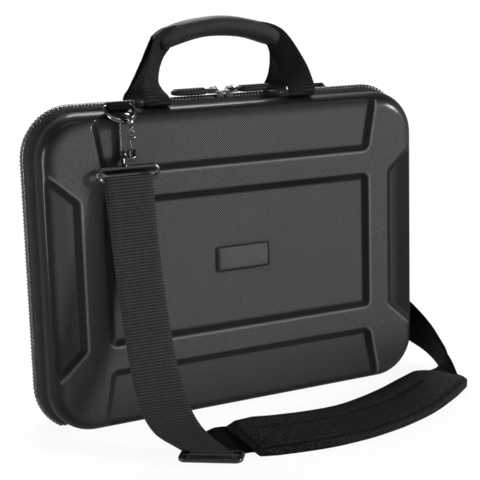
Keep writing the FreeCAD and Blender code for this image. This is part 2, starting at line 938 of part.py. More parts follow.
# Strap loop with the swivel post that turns in the barrel
tilt = math.radians(size("ring_tilt"))
reach = size("ring_shoulder") + size("ring_half_width")
post_y = -size("ring_bar_depth") - reach * math.sin(tilt) - size("claw_play")
claw_level = size("shell_height") + size("ring_bar_lift") - reach * math.cos(tilt) - size("claw_play")
floor_of_window = claw_level - size("hook_base")
barrel_low = floor_of_window - size("barrel_height")
head_low = floor_of_window + size("post_head_gap")
left_x = -hang_at
loop_w = size("loop_half_width")
loop_r = size("loop_end_radius")
upper = barrel_low - size("loop_drop")
lower = upper - 2 * loop_r
mid = upper - loop_r
y_axis = vec(0, 1, 0)
loop_pieces = [
    rod_line(vec(left_x - loop_w, post_y, upper), vec(left_x + loop_w, post_y, upper), wire),
    rod_line(vec(left_x - loop_w, post_y, lower), vec(left_x + loop_w, post_y, lower), wire),
    rod_arc(vec(left_x + loop_w, post_y, upper), vec(left_x + loop_w, post_y, mid), y_axis, 180, wire),
    rod_arc(vec(left_x - loop_w, post_y, lower), vec(left_x - loop_w, post_y, mid), y_axis, 180, wire),
    Part.makeCylinder(size("post_radius"), head_low + 0.1 - upper, vec(left_x, post_y, upper)),
    Part.makeCylinder(size("post_head"), size("post_head_height"), vec(left_x, post_y, head_low)),
]
left_loop = computed("LeftStrapLoop", join(loop_pieces))
keep("left_strap_loop", left_loop)
keep("right_strap_loop", turned("RightStrapLoop", left_loop))


def frames(stations):
    # Along, across and upright directions at each station of a strap
    result = []
    last = len(stations) - 1
    for i, station in enumerate(stations):
        before = stations[max(i - 1, 0)][0]
        after = stations[min(i + 1, last)][0]
        along = vec(*after).sub(vec(*before)).normalize()
        across = vec(*station[1])
        across = across.sub(along * across.dot(along)).normalize()
        result.append((vec(*station[0]), across, along.cross(across)))
    return result


def band(stations, width, thickness):
    wires = []
    for centre, across, upright in frames(stations):
        side = across * (width / 2)
        rise = upright * (thickness / 2)
        corners = [
            centre.sub(side).sub(rise),
            centre.add(side).sub(rise),
            centre.add(side).add(rise),
            centre.sub(side).add(rise),
        ]
        wires.append(Part.makePolygon(corners + corners[:1]))
    return Part.makeLoft(wires, True, True)


strap_w = size("strap_width")
layer = size("strap_thickness")
double = 2 * layer + size("strap_layer_gap")
fold_bore = wire + size("sleeve_gap")
fold_radius = fold_bore + layer


def fold_on_loop(strap, x, y):
    # The webbing goes round the loop's lower bar
    start = vec(x - strap_w / 2, y, lower)
    sleeve = Part.makeCylinder(fold_radius, strap_w, start, vec(1, 0, 0))
    hole = Part.makeCylinder(fold_bore, strap_w + 4, start.sub(vec(2, 0, 0)), vec(1, 0, 0))
    return strap.fuse(sleeve).cut(hole).removeSplitter()


# Left run of the strap: it hangs doubled from the loop and lands on the adjuster
left_run = [
    ((left_x, post_y, lower), (1, 0, 0)),
    ((left_x, post_y - 4.3, 0.856 * lower), (1, 0, 0)),
    ((left_x, post_y - 10.3, 0.68 * lower), (1, 0, 0)),
    ((left_x, post_y - 18.3, 0.504 * lower), (1, -0.02, 0)),
    ((left_x - 0.5, post_y - 30, 0.322 * lower), (1, -0.06, 0)),
    ((left_x - 1, post_y - 43, 0.2 * lower), (1, -0.12, 0)),
    ((left_x, post_y - 57, 0.116 * lower), (1, -0.2, 0)),
    ((left_x + 3, post_y - 72, 13.5), (1, -0.3, 0)),
    ((left_x + 7, post_y - 88, 10.6), (1, -0.46, 0)),
    ((left_x + 10, post_y - 97, 10.2), (1, -0.58, 0)),
]
strap_left = computed("StrapLeftRun", fold_on_loop(band(left_run, strap_w, double), left_x, post_y))
keep("strap_left_run", strap_left)

# Adjuster: a flat buckle with two slots, lying at the lower end of the doubled run
slider_x = left_x + 11
slider_y = post_y - 103.3
slider_z = 3.9
long = size("adjuster_length")
deep = size("adjuster_depth")
thick = size("adjuster_thickness")
bar = size("adjuster_bar")
buckle = Part.makeBox(long, deep, thick, vec(-long / 2, -deep / 2, 0))
upright_edges = [edge for edge in buckle.Edges if abs(edge.BoundBox.ZLength - thick) < 1e-6]
buckle = buckle.makeFillet(size("adjuster_corner"), upright_edges)
slot = (deep - 3 * bar) / 2
for slot_y in (-deep / 2 + bar, bar / 2):
    buckle = buckle.cut(Part.makeBox(long - 2 * bar, slot, thick + 2, vec(-long / 2 + bar, slot_y, -1)))
buckle_turn = FreeCAD.Rotation(z_axis, size("adjuster_turn"))
buckle_place = FreeCAD.Placement(vec(slider_x + 2, slider_y + 2.5, slider_z), buckle_turn)
keep("adjuster", computed("Adjuster", buckle, buckle_place))

# Single link of webbing from under the adjuster to the shoulder pad
link_run = [
    ((slider_x, slider_y - 5, 1.2), (0.91, -0.42, 0)),
    ((slider_x + 8, slider_y + 4.5, 1.2), (0.85, -0.53, 0)),
    ((slider_x + 18, slider_y + 14, 3.6), (0.66, -0.73, -0.14)),
    ((slider_x + 29.5, slider_y + 20, 7.2), (0.25, -0.92, -0.3)),
    ((slider_x + 40, slider_y + 20.4, 7.6), (0, -0.95, -0.3)),
]
keep("strap_link", computed("StrapLink", band(link_run, strap_w, layer)))

# Shoulder pad: a crowned cushion with drawn-in edges and tapering ends
pad_wide = size("pad_half_width")
pad_thick = size("pad_half_thickness")
pad_start = slider_x + 41.6
pad_end = size("shell_width") / 2 - 2
pad_long = pad_end - pad_start
pad_run = [
    ((pad_start, slider_y + 20.4, 7.6), (0, -0.95, -0.3), 0.65, 0.5),
    ((pad_start + 0.037 * pad_long, slider_y + 20.2, 8.4), (-0.03, -0.95, -0.28), 0.8, 0.75),
    ((pad_start + 0.11 * pad_long, slider_y + 14, 8.6), (-0.08, -0.97, -0.2), 0.93, 0.92),
    ((pad_start + 0.247 * pad_long, slider_y + 7.5, 7.4), (0, -0.99, -0.11), 1, 1),
    ((pad_start + 0.456 * pad_long, slider_y + 11, 6.6), (0.18, -0.98, -0.05), 1, 1),
    ((pad_start + 0.679 * pad_long, slider_y + 28, 6.4), (0.43, -0.9, -0.05), 1, 1),
    ((pad_start + 0.865 * pad_long, slider_y + 52, 6.4), (0.6, -0.8, -0.05), 0.95, 0.95),
    ((pad_start + 0.958 * pad_long, slider_y + 68, 5.2), (0.64, -0.77, -0.05), 0.8, 0.75),
    ((pad_end, slider_y + 75.5, 4.4), (0.66, -0.75, -0.05), 0.65, 0.5),
]
outline = [
    (-1, -0.3),
    (-0.82, -0.72),
    (-0.35, -1),
    (0.35, -1),
    (0.82, -0.72),
    (1, -0.3),
    (1, 0.3),
    (0.82, 0.72),
    (0.35, 1),
    (-0.35, 1),
    (-0.82, 0.72),
    (-1, 0.3),
]
pad_wires = []
for station, (centre, across, upright) in zip(pad_run, frames(pad_run)):
    ring_points = []
    for u, v in outline:
        side = across * (u * pad_wide * station[2])
        ring_points.append(centre.add(side).add(upright * (v * pad_thick * station[3])))
    pad_wires.append(Part.makePolygon(ring_points + ring_points[:1]))
keep("shoulder_pad", computed("ShoulderPad", Part.makeLoft(pad_wires, True, True)))

# Right run: from the pad round the case's side and up its back to the other loop
right_x = -left_x
right_run = [
    ((pad_end + 2, slider_y + 77.4, 4.4), (0.67, -0.74, -0.06)),
    ((pad_end + 12, slider_y + 88, 5.4), (0.72, -0.66, -0.15)),
    ((pad_end + 23, slider_y + 104, 9.5), (0.78, -0.48, -0.38)),
    ((pad_end + 31.5, slider_y + 125, 15.6), (0.62, -0.2, -0.74)),
    ((pad_end + 34, 7, 21.5), (0.25, 0.12, -0.95)),
    ((pad_end + 27, -post_y - 9.7, 0.166 * lower), (0.05, 0.35, -0.93)),
    ((right_x + 74, -post_y + 7.3, 0.272 * lower), (-0.45, 0.2, -0.85)),
    ((right_x + 50, -post_y + 14.3, 0.423 * lower), (-0.8, 0.05, -0.55)),
    ((right_x + 24, -post_y + 12.3, 0.63 * lower), (-0.92, 0, -0.4)),
    ((right_x + 6, -post_y + 6.3, 0.846 * lower), (-0.98, 0, -0.2)),
    ((right_x, -post_y, lower), (-1, 0, 0)),
]
strap_right = computed("StrapRightRun", fold_on_loop(band(right_run, strap_w, layer), right_x, -post_y))
keep("strap_right_run", strap_right)

doc.recompute()
for feature in doc.Objects:
    if "Invalid" in feature.State or "Error" in feature.State:
        raise ValueError("not built: " + feature.Name)
os.makedirs("parts", exist_ok=True)
for label, feature in nodes.items():
    shape = feature.Shape
    if shape.isNull() or not shape.isValid() or not shape.Solids:
        raise ValueError("bad shape: " + label)
    shape.exportStep("parts/%s.step" % label)
print("nodes", len(nodes))
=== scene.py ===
import math
import bpy
import bmesh
import numpy as np
from mathutils import Matrix, Vector


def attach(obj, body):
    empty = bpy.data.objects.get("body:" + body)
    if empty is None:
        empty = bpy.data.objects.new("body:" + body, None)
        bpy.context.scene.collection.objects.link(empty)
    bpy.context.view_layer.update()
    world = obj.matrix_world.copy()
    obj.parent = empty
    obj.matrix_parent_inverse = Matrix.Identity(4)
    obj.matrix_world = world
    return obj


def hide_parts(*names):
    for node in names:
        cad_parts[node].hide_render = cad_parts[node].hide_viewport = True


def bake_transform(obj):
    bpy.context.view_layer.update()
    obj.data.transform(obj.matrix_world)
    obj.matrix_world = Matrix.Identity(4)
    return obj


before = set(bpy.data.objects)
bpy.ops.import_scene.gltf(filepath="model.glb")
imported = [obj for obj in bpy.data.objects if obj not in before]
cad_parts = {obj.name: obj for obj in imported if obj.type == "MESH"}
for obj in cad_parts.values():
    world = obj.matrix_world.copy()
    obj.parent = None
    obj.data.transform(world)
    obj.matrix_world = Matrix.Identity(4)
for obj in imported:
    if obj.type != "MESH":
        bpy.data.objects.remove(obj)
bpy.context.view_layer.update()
mm = 0.001
scene = bpy.context.scene
scene.view_settings.view_transform = "Standard"


def addObject(name, data):
    obj = bpy.data.objects.new(name, data)
    scene.collection.objects.link(obj)
    return obj


# camera, fitted to the case's corners in the photograph
cameraSetup = {
    "spot": (-485.5, -946.2, 337.0),  # mm
    "yaw": 27.77,                     # degrees
    "pitch": 10.835,
    "roll": -1.645,
    "lens": 97.35,                    # mm
    "sensor": 36.0,
}


def makeCamera():
    yaw, pitch, roll = (math.radians(cameraSetup[k]) for k in ("yaw", "pitch", "roll"))
    ahead = Vector((math.sin(yaw) * math.cos(pitch), math.cos(yaw) * math.cos(pitch), -math.sin(pitch)))
    right = Vector((math.cos(yaw), -math.sin(yaw), 0))
    up = right.cross(ahead)
    rightRolled = right * math.cos(roll) + up * math.sin(roll)
    upRolled = up * math.cos(roll) - right * math.sin(roll)
    data = bpy.data.cameras.new("photoCamera")
    data.lens = cameraSetup["lens"]
    data.sensor_width = cameraSetup["sensor"]
    data.clip_start, data.clip_end = 0.05, 40
    camera = addObject("photoCamera", data)
    turn = Matrix((rightRolled, upRolled, -ahead)).transposed().to_4x4()
    camera.matrix_world = Matrix.Translation(Vector(cameraSetup["spot"]) * mm) @ turn
    scene.camera = camera


makeCamera()
print("camera set")


# mesh helpers, all lengths in millimetres
def makeMesh(name, points, faces, uvs=None):
    mesh = bpy.data.meshes.new(name)
    mesh.from_pydata([(p[0] * mm, p[1] * mm, p[2] * mm) for p in points], [], faces)
    if uvs is not None:
        layer = mesh.uv_layers.new(name="run")
        for loop in mesh.loops:
            layer.data[loop.index].uv = uvs[loop.vertex_index]
    mesh.polygons.foreach_set("use_smooth", [True] * len(mesh.polygons))
    mesh.update()
    return addObject(name, mesh)


def setShares(obj, name, values):
    # a number per vertex that the materials read
    obj.data.attributes.new(name, "FLOAT", "POINT").data.foreach_set("value", values)


def weld(obj, reach=0.001):
    sliver = 1e-14  # square metres
    work = bmesh.new()
    work.from_mesh(obj.data)
    bmesh.ops.remove_doubles(work, verts=work.verts, dist=reach * mm)
    slivers = [f for f in work.faces if f.calc_area() < sliver]
    bmesh.ops.delete(work, geom=slivers, context="FACES_ONLY")
    bmesh.ops.recalc_face_normals(work, faces=work.faces)
    for face in work.faces:
        face.smooth = True
    work.to_mesh(obj.data)
    work.free()
    obj.data.update()
    return obj


def gridFaces(rows, columns, first=0, loop=False):
    faces = []
    for i in range(rows - 1):
        for j in range(columns if loop else columns - 1):
            k = (j + 1) % columns
            a, b = first + i * columns + j, first + i * columns + k
            faces.append((a, b, b + columns, a + columns))
    return faces


def tubeFaces(rows, columns, first=0):
    # a looped grid with both ends closed
    last = first + (rows - 1) * columns
    caps = [tuple(range(first + columns - 1, first - 1, -1)), tuple(range(last, last + columns))]
    return gridFaces(rows, columns, first, loop=True) + caps


def joinAll(name, pieces):
    work = bmesh.new()
    for piece in pieces:
        work.from_mesh(piece.data)
    mesh = bpy.data.meshes.new(name)
    work.to_mesh(mesh)
    work.free()
    for piece in pieces:
        old = piece.data
        bpy.data.objects.remove(piece)
        bpy.data.meshes.remove(old)
    return addObject(name, mesh)


def turnedCopy(obj, name):
    # the same form on the other half, turned about the upright axis
    mesh = obj.data.copy()
    mesh.name = name
    mesh.transform(Matrix.Rotation(math.pi, 4, "Z"))
    return addObject(name, mesh)


def mirrored(obj, name):
    # the same form on the other side of the zip's plane
    work = bmesh.new()
    work.from_mesh(obj.data)
    bmesh.ops.scale(work, vec=(1, -1, 1), verts=work.verts)
    bmesh.ops.reverse_faces(work, faces=work.faces)
    mesh = bpy.data.meshes.new(name)
    work.to_mesh(mesh)
    work.free()
    return addObject(name, mesh)


def bevelEdges(obj, width, segments):
    soft = obj.modifiers.new("softEdges", "BEVEL")
    soft.width = width * mm
    soft.segments = segments
    soft.limit_method = "ANGLE"
    soft.angle_limit = math.radians(30)
    bpy.context.view_layer.update()
    seen = bpy.context.evaluated_depsgraph_get()
    mesh = bpy.data.meshes.new_from_object(obj.evaluated_get(seen))
    old = obj.data
    obj.modifiers.clear()
    obj.data = mesh
    mesh.name = obj.name
    bpy.data.meshes.remove(old)
    mesh.polygons.foreach_set("use_smooth", [True] * len(mesh.polygons))
    return obj


def routeLine(points, finer=20):
    # smooth line through the pull of a few route points
    curve = bpy.data.curves.new("route", "CURVE")
    curve.dimensions = "3D"
    curve.resolution_u = finer
    spline = curve.splines.new("NURBS")
    spline.points.add(len(points) - 1)
    for spot, p in zip(spline.points, points):
        spot.co = (p[0] * mm, p[1] * mm, p[2] * mm, 1)
    spline.order_u = 3
    spline.use_endpoint_u = True
    holder = addObject("route", curve)
    bpy.context.view_layer.update()
    mesh = bpy.data.meshes.new_from_object(holder)
    line = [v.co / mm for v in mesh.vertices]
    bpy.data.objects.remove(holder)
    bpy.data.curves.remove(curve)
    bpy.data.meshes.remove(mesh)
    return line


def runLengths(line):
    runs = [0.0]
    for a, b in zip(line, line[1:]):
        runs.append(runs[-1] + (Vector(b) - Vector(a)).length)
    return runs


def spread(values, points, line):
    # values given at the route's points, read off along the smooth line
    at, to = runLengths(points), runLengths(line)
    given, wanted = np.array(at) / at[-1], np.array(to) / to[-1]
    table = np.array(values, float)
    if table.ndim == 1:
        return np.interp(wanted, given, table)
    return np.stack([np.interp(wanted, given, c) for c in table.T], axis=1)


def readAt(table, runs, s):
    return Vector([np.interp(s, runs, table[:, k]) for k in range(3)])


def sweep(name, line, across, section, scaleU=None, scaleV=None, skew=False):
    # section: closed loop of (sideways, upright) offsets; across: one direction, or one per spot
    if isinstance(across, (tuple, Vector)):
        across = [across] * len(line)
    points, uvs = [], []
    runs = runLengths(line)
    last = len(line) - 1
    for i, spot in enumerate(line):
        along = (Vector(line[min(i + 1, last)]) - Vector(line[max(i - 1, 0)])).normalized()
        side = Vector(across[i]).normalized()
        if not skew:
            side = (side - along * side.dot(along)).normalized()
        upright = along.cross(side).normalized()
        su = 1 if scaleU is None else scaleU[i]
        sv = 1 if scaleV is None else scaleV[i]
        for a, b in section:
            points.append(Vector(spot) + side * (a * su) + upright * (b * sv))
            uvs.append((a, runs[i]))
    return makeMesh(name, points, tubeFaces(len(line), len(section)), uvs)


def webSection(width, thick, columns=7):
    # flat webbing with rounded selvedges
    half, edge = width / 2, thick / 2
    row = [-half + edge + (width - thick) * i / (columns - 1) for i in range(columns)]
    tip, low = half - 0.15 * thick, 0.3 * edge
    top, bottom = [(a, edge) for a in row], [(a, -edge) for a in reversed(row)]
    return top + [(tip, low), (tip, -low)] + bottom + [(-tip, -low), (-tip, low)]


def roundedCorners(halfWide, halfHigh, radius, steps):
    # the four corners of a rounded box outline, a list of spots for each
    corners = []
    for k, (sx, sy) in enumerate(((1, 1), (-1, 1), (-1, -1), (1, -1))):
        cx, cy = sx * (halfWide - radius), sy * (halfHigh - radius)
        turns = [math.radians(90 * k + 90 * i / (steps - 1)) for i in range(steps)]
        corners.append([(cx + radius * math.cos(t), cy + radius * math.sin(t)) for t in turns])
    return corners


def barSection(width, depth, corner, groove=0.0):
    # rounded bar, with an optional groove down both narrow faces
    w, d = width / 2, depth / 2
    one, two, three, four = roundedCorners(w, d, corner, 4)
    notch = []
    if groove:
        notch = [(w, -0.28 * d), (w - groove, -0.16 * d), (w - groove, 0.16 * d), (w, 0.28 * d)]
    return one + two + [(-a, -b) for a, b in notch] + three + four + notch


def circle(radius, steps):
    turns = [2 * math.pi * i / steps for i in range(steps)]
    return [(radius * math.cos(t), radius * math.sin(t)) for t in turns]


def softBox(name, low, high, radius, segments=3):
    points = [(x, y, z) for z in (low[2], high[2]) for y in (low[1], high[1]) for x in (low[0], high[0])]
    faces = [(0, 2, 3, 1), (4, 5, 7, 6), (0, 1, 5, 4), (2, 6, 7, 3), (0, 4, 6, 2), (1, 3, 7, 5)]
    return bevelEdges(makeMesh(name, points, faces), radius, segments)


def lathe(name, profile, centre, steps=28):
    # profile of (radius, height) turned about the upright axis
    x, y, z = centre
    points = [(x + a, y + b, z + height) for r, height in profile for a, b in circle(r, steps)]
    return makeMesh(name, points, tubeFaces(len(profile), steps))


stitchSize = {"pitch": 2.6, "long": 1.9, "thick": 0.36, "sides": 6}
stitchSwell = [(-1, 0.35, -0.3), (-0.55, 0.9, 0.35), (0, 1, 0.5), (0.55, 0.9, 0.35), (1, 0.35, -0.3)]


def stitchRow(name, line, normals):
    # short raised threads laid end to end along a line
    runs = runLengths(line)
    at, lift = (np.array([tuple(p) for p in rows]) for rows in (line, normals))
    half, thick, sides = stitchSize["long"] / 2, stitchSize["thick"], stitchSize["sides"]
    points, faces = [], []
    for s in np.arange(stitchSize["pitch"] / 2, runs[-1], stitchSize["pitch"]):
        middle, n = readAt(at, runs, s), readAt(lift, runs, s).normalized()
        ahead, behind = readAt(at, runs, min(s + 0.5, runs[-1])), readAt(at, runs, max(s - 0.5, 0))
        along = (ahead - behind).normalized()
        side = along.cross(n).normalized()
        faces += tubeFaces(len(stitchSwell), sides, len(points))
        for step, swell, rise in stitchSwell:
            base = middle + along * (half * step) + n * (thick * rise)
            points += [base + side * a + n * b for a, b in circle(thick * swell, sides)]
    return makeMesh(name, points, faces)


# materials
class Look:
    # a node tree, with short ways to add to it
    def __init__(self, tree):
        self.nodes, self.links = tree.nodes, tree.links

    def feed(self, socket, value):
        # a number or a colour goes on the socket itself, an output is linked to it
        if isinstance(value, tuple):
            socket.default_value = (*value, 1)
        elif isinstance(value, (int, float)):
            socket.default_value = value
        else:
            self.links.new(value, socket)

    def math(self, kind, *values):
        node = self.nodes.new("ShaderNodeMath")
        node.operation = kind
        for socket, value in zip(node.inputs, values):
            self.feed(socket, value)
        return node.outputs[0]

    def times(self, a, b):
        return self.math("MULTIPLY", a, b)

    def plus(self, a, b):
        return self.math("ADD", a, b)

    def colour(self, share, first, second):
        node = self.nodes.new("ShaderNodeMix")
        node.data_type = "RGBA"
        self.feed(node.inputs["Factor"], share)
        self.feed(node.inputs[6], first)
        self.feed(node.inputs[7], second)
        return node.outputs[2]

    def ramp(self, value, low, high):
        # low and high: (value in, value out), held level beyond both
        node = self.nodes.new("ShaderNodeMapRange")
        self.feed(node.inputs["Value"], value)
        for end, pair in (("Min", low), ("Max", high)):
            node.inputs["From " + end].default_value = pair[0]
            node.inputs["To " + end].default_value = pair[1]
        return node.outputs["Result"]

    def noise(self, place, scale, detail=3.0):
        node = self.nodes.new("ShaderNodeTexNoise")
        node.inputs["Scale"].default_value = scale
        node.inputs["Detail"].default_value = detail
        self.links.new(place, node.inputs["Vector"])
        return node.outputs["Fac"]

    def wave(self, value, period):
        return self.math("SINE", self.times(value, 2 * math.pi / period))

    def attribute(self, name):
        node = self.nodes.new("ShaderNodeAttribute")
        node.attribute_name = name
        return node.outputs["Fac"]

    def place(self, kind="Object"):
        return self.nodes.new("ShaderNodeTexCoord").outputs[kind]

    def split(self, vector):
        parts = self.nodes.new("ShaderNodeSeparateXYZ")
        self.links.new(vector, parts.inputs[0])
        return parts.outputs[0], parts.outputs[1], parts.outputs[2]

    def bump(self, sockets, height, distance, strength):
        node = self.nodes.new("ShaderNodeBump")
        node.inputs["Distance"].default_value = distance * mm
        node.inputs["Strength"].default_value = strength
        self.links.new(height, node.inputs["Height"])
        self.links.new(node.outputs["Normal"], sockets["Normal"])

    def seen(self):
        # 1 for rays that show the stage itself, 0 for those that light the part
        rays = self.nodes.new("ShaderNodeLightPath").outputs
        mirrored = self.math("MAXIMUM", rays["Is Glossy Ray"], rays["Is Transmission Ray"])
        return self.math("MAXIMUM", rays["Is Camera Ray"], mirrored)

    def show(self, output, share, first, second):
        mix = self.nodes.new("ShaderNodeMixShader")
        for socket, value in zip(mix.inputs, (share, first.outputs[0], second.outputs[0])):
            self.links.new(value, socket)
        self.links.new(mix.outputs[0], self.nodes[output].inputs["Surface"])


def newMaterial(name, specular):
    material = bpy.data.materials.new(name)
    material.use_nodes = True
    sockets = material.node_tree.nodes["Principled BSDF"].inputs
    sockets["Specular IOR Level"].default_value = specular
    return material, Look(material.node_tree), sockets


shellLook = {
    "weave": 2.0,                       # repeat of the cloth, mm
    "dark": (0.001, 0.001, 0.0011),     # between the threads
    "light": (0.09, 0.09, 0.0917),      # on the threads
    "smooth": (0.0045, 0.0045, 0.0047),
    "worn": (0.0075, 0.0075, 0.0078),
    # lip: painted highlight colour for the lighter line along the panels' lips
    "lip": (0.15, 0.15, 0.152),
    "specular": 0.02,
    "sheenRough": 0.2,
    "sheen": (0.03, 0.32),              # coat between and on the threads
    "drawnSheen": 0.12,
}


def shellCloth():
    # coated cloth over moulded foam: weave on the flats, drawn smooth on walls and edges; painted shade
    # towards the bottom and on the right side panel, and a painted highlight along the lips
    material, look, sockets = newMaterial("shellCloth", shellLook["specular"])
    place = look.place()
    x, y, z = look.split(place)
    weft, warp = (look.wave(v, shellLook["weave"] * mm) for v in (x, z))
    weave = look.ramp(look.times(weft, warp), (-0.4, 0.0), (0.4, 1.0))
    cloud = look.noise(place, 38.0)
    speck = look.noise(place, 1100.0, 1.0)
    # the wall share: cloth drawn smooth, plus painted shade towards the bottom and on the right side panel
    drawnAndPainted = look.attribute("wall")
    tone = look.times(weave, look.ramp(speck, (0.3, 0.7), (0.7, 1.0)))
    flat = look.colour(tone, shellLook["dark"], shellLook["light"])
    soft = look.colour(cloud, shellLook["smooth"], shellLook["worn"])
    skin = look.colour(drawnAndPainted, flat, soft)
    # the lighter lip line mixed in here is a painted highlight
    look.feed(sockets["Base Color"], look.colour(look.attribute("lip"), skin, shellLook["lip"]))
    look.feed(sockets["Roughness"], look.ramp(cloud, (0.3, 0.5), (0.7, 0.6)))
    # the coating shines on the raised threads and less where it is drawn out
    low, high = shellLook["sheen"]
    shine = look.times(look.ramp(tone, (0, low), (0.8, high)), look.ramp(drawnAndPainted, (0, 1.0), (1, 0.0)))
    drawnShine = look.ramp(drawnAndPainted, (0, 0.0), (1, shellLook["drawnSheen"]))
    look.feed(sockets["Coat Weight"], look.plus(shine, drawnShine))
    sockets["Coat Roughness"].default_value = shellLook["sheenRough"]
    look.bump(sockets, look.times(weave, look.ramp(drawnAndPainted, (0, 1.0), (1, 0.1))), 0.12, 0.4)
    return material


def wovenTape(name, dark, light, period, cross, specular=0.07, rough=0.72, depth=0.22):
    # ribbed webbing, read off the strip's own run: ribs across it, fine ends along it
    material, look, sockets = newMaterial(name, specular)
    run = look.nodes.new("ShaderNodeUVMap")
    run.uv_map = "run"
    u, v, w = look.split(run.outputs[0])
    mixed = look.plus(look.times(look.wave(v, period), 0.66), look.times(look.wave(u, cross), 0.34))
    height = look.ramp(mixed, (-0.9, 0.0), (0.9, 1.0))
    cloud = look.noise(look.place(), 260.0)
    tone = look.times(height, look.ramp(cloud, (0.3, 0.7), (0.7, 1.1)))
    look.feed(sockets["Base Color"], look.colour(tone, dark, light))
    look.feed(sockets["Roughness"], look.ramp(height, (0, rough + 0.1), (1, rough - 0.06)))
    look.bump(sockets, height, depth, 0.8)
    return material


def knitCloth(name, dark, light, period, specular=0.05, rough=0.85, depth=0.2, fuzzTone=(0.15, 1.8),
              grooveShadeTone=None):
    # close knit or canvas that needs no run: crossed waves in all three directions
    material, look, sockets = newMaterial(name, specular)
    place = look.place()
    x, y, z = look.split(place)
    a = look.wave(look.plus(x, z), period * mm)
    b = look.wave(look.math("SUBTRACT", x, look.plus(y, z)), period * mm)
    c = look.wave(look.plus(y, x), period * 1.07 * mm)
    height = look.ramp(look.plus(look.times(a, b), look.times(c, 0.4)), (-1.1, 0.0), (1.1, 1.0))
    cloud = look.noise(place, 70.0)
    fuzz = look.noise(place, 620.0, 1.0)
    tone = look.times(height, look.ramp(cloud, (0.3, 0.75), (0.7, 1.05)))
    tone = look.times(tone, look.ramp(fuzz, (0.4, fuzzTone[0]), (0.6, fuzzTone[1])))
    # painted shade: the colour darkens along the seam share, in the sunk channel and hem grooves
    if grooveShadeTone is not None:
        tone = look.times(tone, look.ramp(look.attribute("seam"), (0.0, 1.0), (1.0, grooveShadeTone)))
    look.feed(sockets["Base Color"], look.colour(tone, dark, light))
    look.feed(sockets["Roughness"], look.ramp(cloud, (0.3, rough - 0.05), (0.7, rough + 0.06)))
    look.bump(sockets, height, depth, 0.7)
    return material


def moulded(name, dark, light, rough, grain, specular=0.5, metallic=0.0, depth=0.02):
    # moulded, cast or plated pieces: slight tone and gloss changes, fine grain
    material, look, sockets = newMaterial(name, specular)
    place = look.place()
    cloud = look.noise(place, 90.0)
    look.feed(sockets["Base Color"], look.colour(cloud, dark, light))
    look.feed(sockets["Roughness"], look.ramp(cloud, (0.3, rough - 0.04), (0.7, rough + 0.06)))
    sockets["Metallic"].default_value = metallic
    look.bump(sockets, look.noise(place, grain, 2.0), depth, 0.35)
    return material


shell = shellCloth()
webbing = wovenTape("ribbedWebbing", (0.004, 0.004, 0.0042), (0.026, 0.026, 0.0265), 2.4, 1.7)
darkWeb = wovenTape("shadedWebbing", (0.002, 0.002, 0.0021), (0.006, 0.006, 0.0061), 2.5, 1.9, specular=0.02)
handleWeb = wovenTape("handleWebbing", (0.002, 0.002, 0.0021), (0.012, 0.012, 0.0123), 2.6, 1.7,
                      specular=0.04)
tapeCloth = wovenTape("zipTapeCloth", (0.006, 0.006, 0.0062), (0.022, 0.022, 0.0225), 1.9, 1.3, depth=0.12)
gripCloth = knitCloth("gripCloth", (0.002, 0.002, 0.0021), (0.024, 0.024, 0.0246), 2.2, specular=0.08,
                      rough=0.6, fuzzTone=(0.75, 1.2))
# the pad's channel and hem grooves are darkened as painted shade
padCloth = knitCloth("padCloth", (0.001, 0.001, 0.0011), (0.0185, 0.0185, 0.0189), 2.1, grooveShadeTone=0.0)
liningCloth = knitCloth("liningCloth", (0.018, 0.018, 0.02), (0.05, 0.05, 0.054), 1.6, specular=0.12,
                        rough=0.9)
thread = knitCloth("sewingThread", (0.008, 0.008, 0.0083), (0.03, 0.03, 0.031), 0.9, specular=0.15,
                   rough=0.6, depth=0.08)
toothNylon = moulded("toothNylon", (0.012, 0.012, 0.0123), (0.022, 0.022, 0.0225), 0.3, 1500.0,
                     specular=0.4, depth=0.05)
enamel = moulded("sliderEnamel", (0.01, 0.01, 0.0103), (0.018, 0.018, 0.0185), 0.25, 1200.0,
                 specular=0.35, depth=0.05)
brightSteel = moulded("brightBail", (0.5, 0.5, 0.51), (0.62, 0.62, 0.63), 0.14, 900.0, metallic=1.0)
ringSteel = moulded("ringSteel", (0.06, 0.06, 0.0615), (0.1, 0.1, 0.102), 0.16, 900.0, metallic=1.0)
blackLacquer = moulded("blackLacquer", (0.006, 0.006, 0.0062), (0.012, 0.012, 0.0123), 0.17, 900.0)
pullRubber = moulded("pullRubber", (0.006, 0.006, 0.0062), (0.014, 0.014, 0.0143), 0.5, 1800.0,
                     specular=0.07, depth=0.1)
badgeRubber = moulded("badgeRubber", (0.03, 0.03, 0.031), (0.048, 0.048, 0.049), 0.5, 2200.0,
                      specular=0.12, depth=0.08)
badgeEdge = moulded("badgeEdge", (0.006, 0.006, 0.0062), (0.012, 0.012, 0.0123), 0.45, 2200.0,
                    specular=0.1, depth=0.08)
glossAcetal = moulded("glossAcetal", (0.004, 0.004, 0.0041), (0.008, 0.008, 0.0082), 0.12, 700.0,
                      specular=0.35)
print("materials made")


def dress(obj, body, material, replaced=()):
    obj.data.materials.clear()
    obj.data.materials.append(material)
    if body:
        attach(obj, body)
    if replaced:
        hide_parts(*replaced)


def dressPair(left, rightName, bodies, material, node):
    # a piece at the front left and its turned copy at the back right
    right = turnedCopy(left, rightName)
    dress(left, bodies[0], material, ["left_" + node])
    dress(right, bodies[1], material, ["right_" + node])


